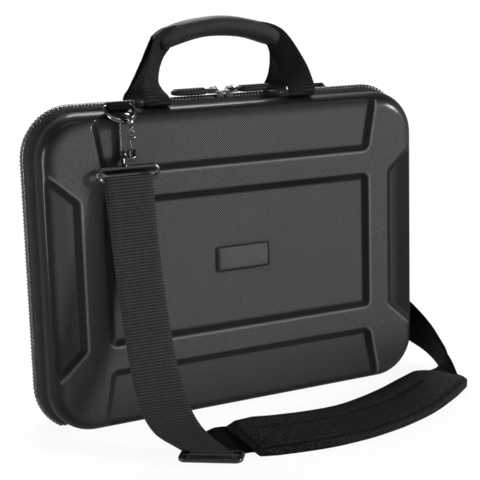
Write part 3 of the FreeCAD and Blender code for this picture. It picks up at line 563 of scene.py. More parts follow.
# the case's outline, walked as stations: a base point and the way out from it
caseSize = {
    "half": 169.0,
    "height": 250.0,
    "corner": 36.0,
    "rim": 9.0,         # from the zip's middle to the rim
    "edge": 14.0,       # rounding between side and face
    "backEdge": 20.0,
    "face": 33.0,
    "recess": 4.0,
    "wallRun": 5.71,    # how far a sunk panel's wall slopes in
    "cornerSteps": 20,
}
boxX = caseSize["half"] - caseSize["corner"]
boxLow = caseSize["corner"]
boxHigh = caseSize["height"] - caseSize["corner"]
midZ = caseSize["height"] / 2


def spacedLines(marks):
    # marks: (from, to, step) stretches of a ruler, joined without repeats
    values = []
    for low, high, step in marks:
        count = max(1, round((high - low) / step))
        values += [low + (high - low) * i / count for i in range(count)]
    values.append(marks[-1][1])
    return values


def walkRound(xLines, zLines):
    # once round the outline: the stations of each side, then those of the corner after it
    sides = (([(x, boxLow) for x in xLines], -90, boxX, boxLow),
             ([(boxX, z) for z in zLines], 0, boxX, boxHigh),
             ([(x, boxHigh) for x in reversed(xLines)], 90, -boxX, boxHigh),
             ([(-boxX, z) for z in reversed(zLines)], 180, -boxX, boxLow))
    steps = caseSize["cornerSteps"]
    stations = []
    for spots, start, cornerX, cornerZ in sides:
        outX, outZ = round(math.cos(math.radians(start))), round(math.sin(math.radians(start)))
        stations += [(x, z, outX, outZ) for x, z in spots]
        turns = [math.radians(start + 90 * i / steps) for i in range(1, steps)]
        stations += [(cornerX, cornerZ, math.cos(t), math.sin(t)) for t in turns]
    return stations


def trayMesh(name, rows, xLines, zLines, floorOf):
    # ring of rows (inset, depth) round the outline, then a flat field inside it
    stations = walkRound(xLines, zLines)
    points = []
    for inset, depth in rows:
        reach = caseSize["corner"] - inset
        for bx, bz, ox, oz in stations:
            x, z = bx + ox * reach, bz + oz * reach
            points.append((x, floorOf(x, z, depth), z))
    faces = gridFaces(len(rows), len(stations), loop=True)
    faces += gridFaces(len(zLines), len(xLines), len(points))
    points += [(x, floorOf(x, z, rows[-1][1]), z) for z in zLines for x in xLines]
    return weld(makeMesh(name, points, faces), 0.01)


# embossed frame: how far inside each sunk panel a spot lies, and the depth there
panelShape = {
    "halfX": 121.0, "halfZ": 58.5, "bar": 18.0, "flare": 11.0, "flareTop": 260.0,
    "sideHalf": 59.0, "sideLean": 0.87, "corner": 6.0, "sideCorner": 2.0, "lip": 1.15, "foot": 1.0,
    "blend": 1.6, "faceFrom": -26.0,
}


def roundMin(a, b, radius):
    if a >= radius and b >= radius:
        return min(a, b)
    return radius - math.hypot(max(radius - a, 0), max(radius - b, 0))


def insidePanels(x, z):
    shape = panelShape
    ax, dz = abs(x), abs(z - midZ)
    middle = roundMin(shape["halfX"] - ax, shape["halfZ"] - dz, shape["corner"])
    inner = shape["halfZ"] + shape["bar"]
    rise, tall = dz - inner, shape["flareTop"] - midZ - inner
    ends = (shape["halfX"] + shape["flare"] * rise / tall - ax) / math.hypot(1, shape["flare"] / tall)
    upper = roundMin(rise, ends, shape["corner"])
    out = ax - (shape["halfX"] + shape["bar"])
    slope = (shape["sideHalf"] + shape["sideLean"] * out - dz) / math.hypot(1, shape["sideLean"])
    return max(middle, upper, roundMin(out, slope, shape["sideCorner"]))


def softRise(value, radius):
    if value <= -radius:
        return 0.0
    if value >= radius:
        return value
    return (value + radius) ** 2 / (4 * radius)


def clamp(value):
    return min(1.0, max(0.0, value))


def softStep(value, radius):
    return clamp((value + radius) / (2 * radius))


def panelDepth(x, z):
    q = insidePanels(x, z)
    steep = caseSize["recess"] / caseSize["wallRun"]
    return steep * (softRise(q, panelShape["lip"]) - softRise(q - caseSize["wallRun"], panelShape["foot"]))


def shellDepth(x, z, depth):
    # panels sink into the face and run out softly in its rounded edge
    sunk = panelDepth(x, z)
    if depth > panelShape["faceFrom"] or sunk <= 0:
        return depth
    floor = -caseSize["face"] + sunk
    blend = panelShape["blend"] * min(1.0, sunk)
    share = clamp(0.5 + 0.5 * (depth - floor) / blend)
    return floor + (depth - floor) * share + blend * share * (1 - share)


# where the cloth is drawn smooth, in mm: panel walls from lip to foot, the floors of the slanted side
# panels, the rounded outer edge; painted shade towards the bottom and on the right side panel; and the
# painted highlight line along a lip
drawnClothAndPaintedLight = {
    "lipOut": 0.2, "lipSoft": 0.7, "footIn": 0.5, "footSoft": 0.9,
    "right": 0.95, "left": 0.5, "sideIn": 7, "floorIn": 3, "floorSoft": 2,
    "low": 0.6, "shadeTop": 30, "shadeSoft": 20,
    "edgeIn": 9.5, "edgeSoft": 3.5,
    "line": 0.6, "highlightOut": 0.35, "highlightWide": 0.75, "highlightStep": 0.5, "highlightFrom": 30,
}


def drawnAndShadeShare(x, z):
    # 1 where the cloth is drawn smooth: panel walls, rounded edges and sides; also painted shade, darker
    #                                    towards the bottom and on the right side panel
    drawnAndPainted = drawnClothAndPaintedLight
    q = insidePanels(x, z)
    wall = softStep(q + drawnAndPainted["lipOut"], drawnAndPainted["lipSoft"])
    wall -= softStep(q - caseSize["wallRun"] - drawnAndPainted["footIn"], drawnAndPainted["footSoft"])
    # side panel floors are drawn smooth; the right one is darkened further as painted shade on the side
    # turned from the light
    beside = softStep(abs(x) - panelShape["halfX"] - panelShape["bar"] - drawnAndPainted["sideIn"], drawnAndPainted["sideIn"])
    beside *= softStep(q - drawnAndPainted["floorIn"], drawnAndPainted["floorSoft"]) * drawnAndPainted["right" if x > 0 else "left"]
    inset = min(caseSize["half"] - abs(x), z, caseSize["height"] - z)
    cx, cz = abs(x) - boxX, abs(z - midZ) - (midZ - caseSize["corner"])
    if cx > 0 and cz > 0:
        inset = caseSize["corner"] - math.hypot(cx, cz)
    edge = 1 - softStep(inset - drawnAndPainted["edgeIn"], drawnAndPainted["edgeSoft"])
    # painted shade: darker towards the bottom, where the face turns from the light
    low = drawnAndPainted["low"] * (1 - softStep(z - drawnAndPainted["shadeTop"], drawnAndPainted["shadeSoft"]))
    return clamp(max(wall, edge, low, beside))


def lipHighlightShare(x, y, z):
    # painted highlight: a thin lighter line along a panel's upper and left-facing lips, where the lamps catch
    # them
    drawnAndPainted, step = drawnClothAndPaintedLight, drawnClothAndPaintedLight["highlightStep"]
    if abs(y) < drawnAndPainted["highlightFrom"]:
        return 0.0
    q = insidePanels(x, z)
    line = math.exp(-((q + drawnAndPainted["highlightOut"]) / drawnAndPainted["highlightWide"]) ** 2)
    upward = insidePanels(x, z + step) - q
    leftward = insidePanels(x - step, z) - q
    return drawnAndPainted["line"] * line * clamp(max(upward, leftward) / step)


# the shell's grid, fine where a panel's wall can lie
shellGrid = {"fine": 0.9, "medium": 1.5, "coarse": 6.5, "edgeSteps": 14, "wallX": 111, "wallZ": (50, 86),
             "wallIn": 34.5}
# its rim, rolled inwards: (inset, depth)
rimRoll = [(5.0, -18.0), (5.0, -11.0), (4.6, -9.7), (3.7, -caseSize["rim"] - 0.1), (2.6, -caseSize["rim"]),
           (1.5, -9.3), (0.7, -9.9), (0.2, -10.8), (0.0, -12.0)]


def buildShells():
    fine, medium, coarse = (shellGrid[k] for k in ("fine", "medium", "coarse"))
    wallX, (wallLow, wallHigh), wallIn = (shellGrid[k] for k in ("wallX", "wallZ", "wallIn"))
    face, edgeSteps = caseSize["face"], shellGrid["edgeSteps"]
    right = spacedLines([(0, wallX, coarse), (wallX, boxX, fine)])
    xLines = [-v for v in reversed(right[1:])] + right
    upper = spacedLines([(0, wallLow, coarse), (wallLow, wallHigh, fine), (wallHigh, boxHigh - midZ, medium)])
    zLines = [midZ - v for v in reversed(upper[1:])] + [midZ + v for v in upper]
    for label, edge in (("front", caseSize["edge"]), ("back", caseSize["backEdge"])):
        flank = face - edge
        rows = rimRoll + [(0.0, -flank)]
        for step in range(1, edgeSteps + 1):
            turn = math.radians(90 * step / edgeSteps)
            rows.append((edge - edge * math.cos(turn), -flank - edge * math.sin(turn)))
        inner = spacedLines([(edge, wallIn, fine), (wallIn, caseSize["corner"], medium)])[1:]
        rows += [(v, -face) for v in inner]
        skin = trayMesh(label + "ShellSkin", rows, xLines, zLines, shellDepth)
        if label == "back":
            skin.data.transform(Matrix.Rotation(math.pi, 4, "Z"))
        spots = [v.co / mm for v in skin.data.vertices]
        # the wall share holds drawn smooth cloth and painted shade at the bottom and on the right side panel
        setShares(skin, "wall", [drawnAndShadeShare(p.x, p.z) for p in spots])
        # the lip share marks the painted highlight line along the panels' lips
        setShares(skin, "lip", [lipHighlightShare(p.x, p.y, p.z) for p in spots])
        dress(skin, label + "_half", shell, [label + "_shell"])


buildShells()
print("shells moulded")


# linings: a soft tray in each half, its rim turned over under the tape
liningRows = [(5.6, -9.6), (6.2, -9.2), (7.0, -9.6), (7.3, -10.6), (7.3, -14), (7.3, -18.4), (7.9, -20.2),
              (9.3, -20.75), (12.0, -20.8), (20, -20.8), (28, -20.8), (36.0, -20.8)]


def buildLinings():
    xLines = spacedLines([(-boxX, boxX, 19)])
    zLines = spacedLines([(boxLow, boxHigh, 18)])
    front = trayMesh("frontLiningTray", liningRows, xLines, zLines, lambda x, z, depth: depth)
    back = turnedCopy(front, "backLiningTray")
    dress(front, "front_half", liningCloth, ["front_lining"])
    dress(back, "back_half", liningCloth, ["back_lining"])


buildLinings()
print("linings laid")


# zip: tapes and teeth
zipShape = {
    "pitch": 3.0, "toothLong": 1.42, "tapeStep": 3.0, "tapeRow": 1.15,
    "endTurn": 9.6, "tailTurn": 77.0, "spineTurn": 8.6,  # degrees round the lower corners
    "proud": 5.6, "clear": 0.4, "lowFrom": -0.2,
}
tapeRows = [(3.2, -10.6), (2.7, -9.2), (2.1, -8.2), (0.9, -7.4), (-0.5, -6.7), (-1.8, -5.8), (-2.8, -4.7),
            (-3.3, -3.4), (-3.4, -2.0), (-3.1, -1.0), (-2.4, -0.6), (-1.4, -0.8), (0.0, -2.4), (1.4, -5.0),
            (2.6, -7.6), (3.6, -10.4)]
toothOutline = [(-3.8, 2.6), (-3.9, 3.5), (-3.4, 4.5), (-2.3, 5.15), (-0.8, 5.5), (0.35, 5.35), (0.85, 4.7),
                (0.75, 3.8), (0.1, 3.2), (-1.4, 2.9), (-2.6, 2.5)]
toothMiddle = (-1.6, 4.0)
toothSlices = [(-1.0, 0.82), (-0.66, 1.0), (0.66, 1.0), (1.0, 0.82)]
toothCore = [(-3.0, 2.4), (-3.1, 3.6), (-2.2, 4.5), (-0.9, 4.85), (-0.1, 4.7), (-0.1, 3.0)]


def outlineWalk(step):
    # stations along the outline from the lower left, up, over and down to the lower right
    corner = caseSize["corner"]
    low, quarter = math.radians(zipShape["endTurn"]), math.pi / 2
    tall, wide = boxHigh - boxLow, 2 * boxX

    def bend(x, z, start):
        return lambda s: (x, z, math.cos(start - s / corner), math.sin(start - s / corner))

    legs = [(corner * low, bend(-boxX, boxLow, math.pi + low)),
            (tall, lambda s: (-boxX, boxLow + s, -1, 0)),
            (corner * quarter, bend(-boxX, boxHigh, math.pi)),
            (wide, lambda s: (-boxX + s, boxHigh, 0, 1)),
            (corner * quarter, bend(boxX, boxHigh, quarter)),
            (tall, lambda s: (boxX, boxHigh - s, 1, 0)),
            (corner * low, bend(boxX, boxLow, 0))]
    total = sum(leg[0] for leg in legs)
    count = int(total / step)
    stations = []
    for i in range(count + 1):
        s = total * i / count
        k = 0
        while k < len(legs) - 1 and s > legs[k][0]:
            s -= legs[k][0]
            k += 1
        stations.append(legs[k][1](s))
    return stations


def tailWalk(step, sign):
    # the rest of the way down, round one lower corner
    first, last = math.radians(zipShape["endTurn"]), math.radians(zipShape["tailTurn"])
    count = int((last - first) * caseSize["corner"] / step)
    turns = [first + (last - first) * i / count for i in range(count + 1)]
    return [(sign * boxX, boxLow, sign * math.cos(t), -math.sin(t)) for t in turns]


def zipReach(oz, out):
    # the zip flattens towards the floor so that it never goes under it
    room = zipShape["proud"]
    if oz < zipShape["lowFrom"]:
        room = min(room, (caseSize["corner"] - zipShape["clear"]) / -oz - caseSize["corner"])
    return caseSize["corner"] + (out if out < 0 else out * room / zipShape["proud"])


def tapeMesh(name, walk, side):
    # the tape stands out from a groove behind the rim
    points, uvs = [], []
    for i, (bx, bz, ox, oz) in enumerate(walk):
        for k, (inset, y) in enumerate(tapeRows):
            reach = zipReach(oz, -inset)
            points.append((bx + ox * reach, side * y, bz + oz * reach))
            uvs.append((k * zipShape["tapeRow"], i * zipShape["tapeStep"]))
    return weld(makeMesh(name, points, gridFaces(len(walk), len(tapeRows)), uvs))


def teethMesh(name, walk, side):
    # moulded teeth on a core: a foot on the tape, then a rounded head over the middle
    half = zipShape["toothLong"] / 2
    middleY, middleOut = toothMiddle
    points, faces = [], []
    for bx, bz, ox, oz in walk[(0 if side > 0 else 1)::2]:
        faces += tubeFaces(len(toothSlices), len(toothOutline), len(points))
        for along, shrink in toothSlices:
            for y, out in toothOutline:
                reach = zipReach(oz, middleOut + (out - middleOut) * shrink)
                points.append((bx + ox * reach - oz * half * along, side * (middleY + (y - middleY) * shrink),
                               bz + oz * reach + ox * half * along))
    faces += gridFaces(len(walk), len(toothCore), len(points), loop=True)
    for bx, bz, ox, oz in walk:
        for y, out in toothCore:
            reach = zipReach(oz, out)
            points.append((bx + ox * reach, side * y, bz + oz * reach))
    return weld(makeMesh(name, points, faces))


def buildZip():
    step, toothStep = zipShape["tapeStep"], zipShape["pitch"] / 2
    tailTapes, tailTeeth = [], []
    for label, side in (("front", 1), ("back", -1)):
        body = label + "_half"
        tape = tapeMesh(label + "ZipTape", outlineWalk(step), side)
        dress(tape, body, tapeCloth, [label + "_zip_tape"])
        teeth = teethMesh(label + "ZipTeeth", outlineWalk(toothStep), side)
        dress(teeth, body, toothNylon, [label + "_zip_teeth"])
        for sign in (1, -1):
            tailTapes.append(tapeMesh("tailTape", tailWalk(step, sign), side))
            tailTeeth.append(teethMesh("tailTeeth", tailWalk(toothStep, sign), side))
    for name, parts, material, slotName in (("zipTailTapes", tailTapes, tapeCloth, "zip_tape"),
                                            ("zipTailTeeth", tailTeeth, toothNylon, "zip_teeth")):
        tail = joinAll(name, parts)
        dress(tail, None, material)
        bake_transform(tail)


buildZip()
print("zip laid")


# cloth hinge under the case, a shallow fold between the two rims: (inset, y)
spineFold = [(3.4, -10.6), (2.4, -9.4), (1.5, -7.6), (1.0, -4.5), (1.1, -2.0), (1.2, 0.0), (1.1, 2.0),
             (1.0, 4.5), (1.5, 7.6), (2.4, 9.4), (3.4, 10.6)]
spineShape = {"thick": 1.1, "step": 7, "cornerSteps": 18, "weave": 3.5}


def buildSpine():
    steps = spineShape["cornerSteps"]
    bend = math.radians(90 - zipShape["spineTurn"])
    left = [math.radians(180 + zipShape["spineTurn"]) + bend * i / steps for i in range(steps + 1)]
    right = [math.radians(-90) + bend * i / steps for i in range(steps + 1)]
    stations = [(-boxX, boxLow, math.cos(t), math.sin(t)) for t in left]
    stations += [(x, boxLow, 0, -1) for x in spacedLines([(-boxX, boxX, spineShape["step"])])[1:-1]]
    stations += [(boxX, boxLow, math.cos(t), math.sin(t)) for t in right]
    rows = spineFold + [(inset + spineShape["thick"], y) for inset, y in reversed(spineFold)]
    points, uvs = [], []
    for i, (bx, bz, ox, oz) in enumerate(stations):
        for inset, y in rows:
            reach = caseSize["corner"] - inset
            points.append((bx + ox * reach, y, bz + oz * reach))
            uvs.append((y, i * spineShape["weave"]))
    spine = makeMesh("spineGusset", points, tubeFaces(len(stations), len(rows)), uvs)
    dress(spine, None, tapeCloth, ["spine_gusset"])
    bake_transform(spine)


buildSpine()
print("spine folded")


# blank badge with a raised border; border and field are profiles of (inset, depth)
badgeShape = {"halfX": 24.0, "halfZ": 10.5, "seat": -29.0, "thick": 1.8, "sink": 0.75, "corner": 1.6,
              "cornerSteps": 5, "leastCorner": 0.4, "tighten": 0.7}


def buildBadge():
    shape = badgeShape
    top = shape["seat"] - shape["thick"]
    sunk = top + shape["sink"]
    border = [(0, shape["seat"] + 0.3), (0, top + 0.5), (0.15, top + 0.15), (0.5, top), (1.0, top),
              (1.3, top + 0.15), (1.5, sunk - 0.1), (1.7, sunk + 0.3)]
    field = [(1.6, sunk + 0.3), (1.75, sunk - 0.1), (2.1, sunk - 0.3), (3.0, sunk - 0.35)]
    count = 4 * shape["cornerSteps"]
    for name, profile, material, closed in (("badgeBorder", border, badgeEdge, False),
                                            ("badgeField", field, badgeRubber, True)):
        points = []
        for inset, y in profile:
            radius = max(shape["leastCorner"], shape["corner"] - inset * shape["tighten"])
            wide, high = shape["halfX"] - inset, shape["halfZ"] - inset
            corners = roundedCorners(wide, high, radius, shape["cornerSteps"])
            points += [(x, y, midZ + z) for corner in corners for x, z in corner]
        faces = gridFaces(len(profile), count, loop=True)
        if closed:
            faces.append(tuple(range(len(points) - count, len(points))))
        plate = weld(makeMesh(name, points, faces))
        dress(plate, "front_half", material, ["badge"] if closed else [])


buildBadge()
print("badge set")


# zip sliders and pulls
sliderShape = {"offset": 7.4, "halfLong": 6.5, "base": 256.4, "top": 257.9, "pin": 259.3,
               "ribs": 11, "ribFirst": 10.5, "ribPitch": 2.35, "ribRadius": 0.62,
               "bailHalf": 4.0, "bailHigh": 4.1, "bailSteps": 16,
               "armLong": 8.2, "armY": 2.85, "pinHalf": 3.4, "pinRadius": 0.95}
plateOutline = [(-6.5, -4.9), (-5.3, -5.5), (0, -5.5), (5.7, -4.2), (6.5, -3.2), (6.5, 3.2), (5.7, 4.2),
                (0, 5.5), (-5.3, 5.5), (-6.5, 4.9)]
# pull: (reach, half width, swell) along it, and its section as (share of the half width, height)
pullStations = [(7.0, 2.4, 0.6), (8.2, 3.3, 0.85), (10.5, 4.2, 1.0), (15, 4.6, 1.05), (24, 4.6, 1.05),
                (31, 4.5, 1.0), (35, 3.8, 0.9), (37, 2.8, 0.7), (37.9, 1.5, 0.45)]
pullRing = [(-1, -2.2), (-0.86, -3.2), (0.86, -3.2), (1, -2.2), (1, 0.4), (0.84, 1.2), (0.35, 1.5),
            (-0.35, 1.5), (-0.84, 1.2), (-1, 0.4)]
pullRib = [(-4.5, -0.2), (-4.4, 0.8), (-3.5, 1.5), (0, 1.8), (3.5, 1.5), (4.4, 0.8), (4.5, -0.2)]


def buildSlider(side, sign):
    shape = sliderShape
    cx, low, top, pinZ = sign * shape["offset"], shape["base"], shape["top"], shape["pin"]
    near = cx - sign * shape["halfLong"]
    points = [(cx + sign * x, y, z) for z in (low, top) for x, y in plateOutline]
    plate = makeMesh(side + "SliderPlate", points, tubeFaces(2, len(plateOutline)))
    plate = bevelEdges(weld(plate), 0.45, 3)
    lip = softBox(side + "SliderLip", (min(near, cx), -5.5, low - 4.4), (max(near, cx), -4.2, low + 0.4), 0.4)
    crown = softBox(side + "SliderCrown", (cx - 2.1, -1.7, top - 0.4), (cx + 2.1, 1.7, top + 0.35), 0.3)
    body = joinAll(side + "SliderBody", [plate, lip, crown])
    dress(body, "slider_" + side, enamel, [side + "_slider"])

    # bright bail over the pull's pin
    turns = [math.pi * i / shape["bailSteps"] for i in range(shape["bailSteps"] + 1)]
    half, high = shape["bailHalf"], shape["bailHigh"]
    line = [(cx - half * math.cos(t), 0, top - 0.2 + high * math.sin(t)) for t in turns]
    bail = sweep(side + "Bail", line, (0, 1, 0), barSection(2.6, 1.7, 0.75))
    dress(bail, "slider_" + side, brightSteel, [side + "_bridge"])

    # pull: arms from the pin, then a ribbed tab with a rounded end
    points = [(cx + sign * reach, a * half, pinZ + b * swell)
              for reach, half, swell in pullStations for a, b in pullRing]
    parts = [weld(makeMesh(side + "PullTab", points, tubeFaces(len(pullStations), len(pullRing))))]
    for i in range(shape["ribs"]):
        x = cx + sign * (shape["ribFirst"] + shape["ribPitch"] * i)
        line = [(x, y, pinZ + z) for y, z in pullRib]
        parts.append(sweep(side + "PullRib", line, (1, 0, 0), circle(shape["ribRadius"], 8)))
    x0, x1 = sorted((cx, cx + sign * shape["armLong"]))
    for y in (-shape["armY"], shape["armY"]):
        start, end = (x0 - 0.9, y - 0.6, pinZ - 0.85), (x1, y + 0.6, pinZ + 0.85)
        parts.append(softBox(side + "PullArm", start, end, 0.35, 2))
    line = [(cx, y, pinZ) for y in (-shape["pinHalf"], 0, shape["pinHalf"])]
    parts.append(sweep(side + "PullPin", line, (1, 0, 0), circle(shape["pinRadius"], 14)))
    dress(joinAll(side + "PullTag", parts), "pull_" + side, pullRubber, [side + "_pull"])


for side, sign in (("left", -1), ("right", 1)):
    buildSlider(side, sign)
print("sliders threaded")


# carrying handle: a padded half-grip on each side's twisted webbing legs
handleShape = {
    "bend": 125.7, "gripZ": 310.4, "halfLong": 53.5, "halfHigh": 8.0, "depth": 10.8, "split": 0.35,
    "shift": -3.5, "highPower": 0.86, "deepPower": 0.8, "stations": 49, "sides": 30,
    "endPower": 10, "endSlim": 0.16, "endFlat": 0.2, "wobble": 0.02,
    "seamTurn": 2.02, "seamWide": 0.055, "seamIn": 0.55, "seamDip": 0.4,
    "stitchTurn": 1.86, "stitchReach": 0.94, "stitchSpots": 41, "stitchLift": 0.05,
    "webWidth": 24.0, "webThick": 1.7, "frontBase": 65.0, "backBase": 62.5, "straightBase": 66.5,
}
legRoute = [(0, 11.2, 250.3), (0, 18.0, 250.9), (0, 24.4, 252.2), (0.4, 24.0, 257.5), (1, 17.0, 264.0),
            (0, 12.5, 272.0), (-5, 9.0, 284.0), (-9, 7.0, 292.0), (-14, 6.0, 299.5), (-21, 5.4, 304.5),
            (-29, 5.2, 307.0)]
legAcross = [(1, 0, 0), (1, 0, 0), (1, 0, 0), (0.98, 0.2, 0), (0.88, 0.47, 0), (0.78, 0.62, 0.05),
             (0.7, 0.66, 0.25), (0.66, 0.55, 0.45), (0.56, 0.3, 0.76), (0.45, 0.15, 0.88), (0.4, 0.1, 0.91)]
# the back right leg stands straight
plainRoute = [(0, 11.2, 250.3), (0, 18.0, 250.9), (0, 24.4, 252.2), (0, 24.0, 257.5), (0, 17.0, 264.0),
              (0, 12.5, 272.0), (-1, 9.0, 284.0), (-4, 7.0, 292.0), (-9.5, 6.0, 299.5), (-18, 5.4, 304.5),
              (-28, 5.2, 307.0)]
plainAcross = [(1, 0, 0)] * 6 + [(0.98, 0.05, 0.15), (0.9, 0.08, 0.42), (0.66, 0.1, 0.74), (0.48, 0.1, 0.87),
                                 (0.4, 0.1, 0.91)]
legWidth = [1.0, 1.0, 1.0, 1.0, 0.98, 0.97, 0.94, 0.88, 0.78, 0.62, 0.5]


def gripSpot(share, a, swell=1.0, full=1.0, seam=0.0):
    # a spot on the half-grip: share of the way along the arch, then a turned down from its top
    shape = handleShape
    turn = math.asin(shape["halfLong"] / shape["bend"]) * share
    high = math.copysign(abs(math.cos(a)) ** shape["highPower"], math.cos(a))
    deep = abs(math.sin(a)) ** shape["deepPower"]
    radius = shape["bend"] + shape["halfHigh"] * high * swell - shape["seamDip"] * seam * high
    x = shape["shift"] + radius * math.sin(turn)
    y = -shape["split"] - (shape["depth"] - shape["split"]) * deep * full + shape["seamIn"] * seam
    z = shape["gripZ"] - shape["bend"] + radius * math.cos(turn)
    return (x, y, z), (math.sin(turn) * high, -math.sin(a), math.cos(turn) * high)


def buildGrips():
    # a D section bent along the arch, drawn in at its ends
    shape = handleShape
    stations, sides = shape["stations"], shape["sides"]
    points = []
    for i in range(stations):
        share = -1 + 2 * i / (stations - 1)
        fall = abs(share) ** shape["endPower"]
        swell = (1 - shape["endSlim"] * fall) * (1 + shape["wobble"] * math.sin(9 * share + 0.6))
        for k in range(sides):
            a = math.pi * k / (sides - 1)
            seam = math.exp(-((a - shape["seamTurn"]) / shape["seamWide"]) ** 2)
            points.append(gripSpot(share, a, swell, 1 - shape["endFlat"] * fall, seam)[0])
    grip = weld(makeMesh("frontGripPad", points, tubeFaces(stations, sides)))
    backGrip = mirrored(grip, "backGripPad")
    for piece, label in ((grip, "front"), (backGrip, "back")):
        dress(piece, "handle_" + label, gripCloth, [label + "_grip"])

    # stitches just above the seam
    line, normals = [], []
    for share in np.linspace(-shape["stitchReach"], shape["stitchReach"], shape["stitchSpots"]):
        (x, y, z), normal = gripSpot(float(share), shape["stitchTurn"])
        line.append((x, y - shape["stitchLift"], z))
        normals.append(normal)
    seam = stitchRow("frontGripStitches", line, normals)
    backSeam = mirrored(seam, "backGripStitches")
    dress(seam, "handle_front", thread)
    dress(backSeam, "handle_back", thread)


def legPair(name, base, near, straightRight):
    # legs sewn flat into the rim, rolled over it, then twisting up under the grip
    shape = handleShape
    section = webSection(shape["webWidth"], shape["webThick"], 9)
    legs = []
    for sign in (1, -1):
        plain = straightRight and sign == 1
        foot = shape["straightBase"] if plain else base
        points, turns = (plainRoute, plainAcross) if plain else (legRoute, legAcross)
        route = [(shape["shift"] + sign * (foot + x), near * y, z) for x, y, z in points]
        line = routeLine(route)
        across = spread([(sign * x, -y, z) for x, y, z in turns], route, line)
        legs.append(sweep("leg", line, across, section, scaleU=spread(legWidth, route, line)))
    return weld(joinAll(name, legs))


def buildLegs():
    web = legPair("frontHandleLegs", handleShape["frontBase"], -1, False)
    backWeb = legPair("backHandleLegs", handleShape["backBase"], 1, True)
    dress(web, None, handleWeb, ["front_handle_webbing", "front_handle_tabs"])
    dress(backWeb, None, handleWeb, ["back_handle_webbing", "back_handle_tabs"])
    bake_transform(web)
    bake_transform(backWeb)


buildGrips()
buildLegs()
print("handle padded")


# D-rings, their tabs, hooks, gates and strap loops
hangShape = {"x": -102.0, "postY": -38.7, "clawZ": 241.5, "loopZ": 198.5, "aside": 9.0}
hookShape = {
    "half": 6.45, "shankZ": (213.6, 222.0, 232.0), "steps": 14, "tip": 1.5, "slim": [0.98, 0.92, 0.84, 0.74],
    "barrelZ": 210.2, "soleX": 2.8, "soleY": 8.0, "soleZ": (213.5, 217.0),
    "earX": 2.4, "earThick": 0.6, "earY": (8.4, 3.9), "earZ": (214.5, 222.1),
}
gateShape = {"out": 6.4, "pivotZ": 220.5, "barZ": (218.9, 223.5, 231.0, 238.4, 239.5), "pinHalf": 3.0,
             "pinRadius": 0.88}
tabRoute = [(-102, -10.4, 251.9), (-102, -15.0, 252.2), (-102, -20.0, 253.4), (-102, -22.4, 256.6),
            (-102, -26.6, 256.4), (-102, -27.0, 251.6), (-102, -24.0, 249.9), (-102, -19.0, 250.4),
            (-102, -10.4, 250.3)]
barrelProfile = [(3.2, 0.0), (4.8, 0.15), (5.3, 0.7), (5.4, 1.6), (5.4, 4.6), (5.2, 5.6), (4.4, 6.4),
                 (3.8, 7.0), (2.9, 7.0)]


def makeHook(x, postY, clawZ):
    # grooved shank and claw in one sweep, sole, ears and swivel barrel
    shape = hookShape
    half, steps, slim = shape["half"], shape["steps"], shape["slim"]
    path = [(x, postY + half, z) for z in (*shape["shankZ"], clawZ)]
    for i in range(1, steps + 1):
        turn = math.pi * i / steps
        path.append((x, postY + half * math.cos(turn), clawZ + half * math.sin(turn)))
    path.append((x, postY - half, clawZ - shape["tip"]))
    widths = [1.0] * (len(path) - len(slim)) + slim
    bow = sweep("hookBow", path, (1, 0, 0), barSection(3.8, 2.9, 0.8, 0.45), scaleU=widths)
    dx, dy, (low, top) = shape["soleX"], shape["soleY"], shape["soleZ"]
    sole = softBox("hookSole", (x - dx, postY - dy, low), (x + dx, postY + dy, top), 0.9)
    parts = [bow, sole, lathe("hookBarrel", barrelProfile, (x, postY, shape["barrelZ"]))]
    thick, (out, back), (low, top) = shape["earThick"], shape["earY"], shape["earZ"]
    for ex in (x - shape["earX"], x + shape["earX"]):
        start, end = (ex - thick, postY - out, low), (ex + thick, postY - back, top)
        parts.append(softBox("hookEar", start, end, 0.55))
    return joinAll("leftSnapHook", parts)


def makeGate(x, gateY, pivotZ):
    # sprung bar on its pin, with a thumb knob
    path = [(x, gateY, z) for z in gateShape["barZ"]]
    bar = sweep("gateBar", path, (1, 0, 0), barSection(3.2, 2.2, 0.7), scaleU=[0.7, 0.7, 1.0, 1.0, 0.86],
                scaleV=[0.8, 1, 1, 1, 0.8])
    knob = softBox("gateKnob", (x - 2.4, gateY - 3.7, 229.4), (x + 2.4, gateY - 0.6, 232.6), 1.2, 4)
    ridge = softBox("gateRidge", (x - 2.5, gateY - 2.5, 234.6), (x + 2.5, gateY - 1.0, 236.4), 0.6)
    half = gateShape["pinHalf"]
    pinLine = [(x + dx, gateY, pivotZ) for dx in (-half, 0, half)]
    pin = sweep("gatePin", pinLine, (0, 1, 0), circle(gateShape["pinRadius"], 14))
    return joinAll("leftGateBar", [bar, knob, ridge, pin])


def buildHangers():
    x, postY = hangShape["x"], hangShape["postY"]
    tab = sweep("leftRingTab", routeLine(tabRoute), (1, 0, 0), webSection(18.0, 1.2))
    dressPair(tab, "rightRingTab", ("front_half", "back_half"), darkWeb, "ring_tab")

    # hook and gate hang a little turned on their swivel
    post = Vector((x, postY, 0)) * mm
    turn = Matrix.Rotation(math.radians(hangShape["aside"]), 4, "Z")
    aside = Matrix.Translation(post) @ turn @ Matrix.Translation(-post)
    hook = makeHook(x, postY, hangShape["clawZ"])
    hook.data.transform(aside)
    dressPair(hook, "rightSnapHook", ("hook_left", "hook_right"), blackLacquer, "hook")
    gate = makeGate(x, postY - gateShape["out"], gateShape["pivotZ"])
    gate.data.transform(aside)
    dressPair(gate, "rightGateBar", ("gate_left", "gate_right"), blackLacquer, "gate")

    for node, material in (("left_d_ring", ringSteel), ("right_d_ring", ringSteel),
                           ("left_strap_loop", blackLacquer), ("right_strap_loop", blackLacquer)):
        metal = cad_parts[node].data
        metal.materials.clear()
        metal.materials.append(material)
        metal.polygons.foreach_set("use_smooth", [True] * len(metal.polygons))


buildHangers()
print("hooks hung")


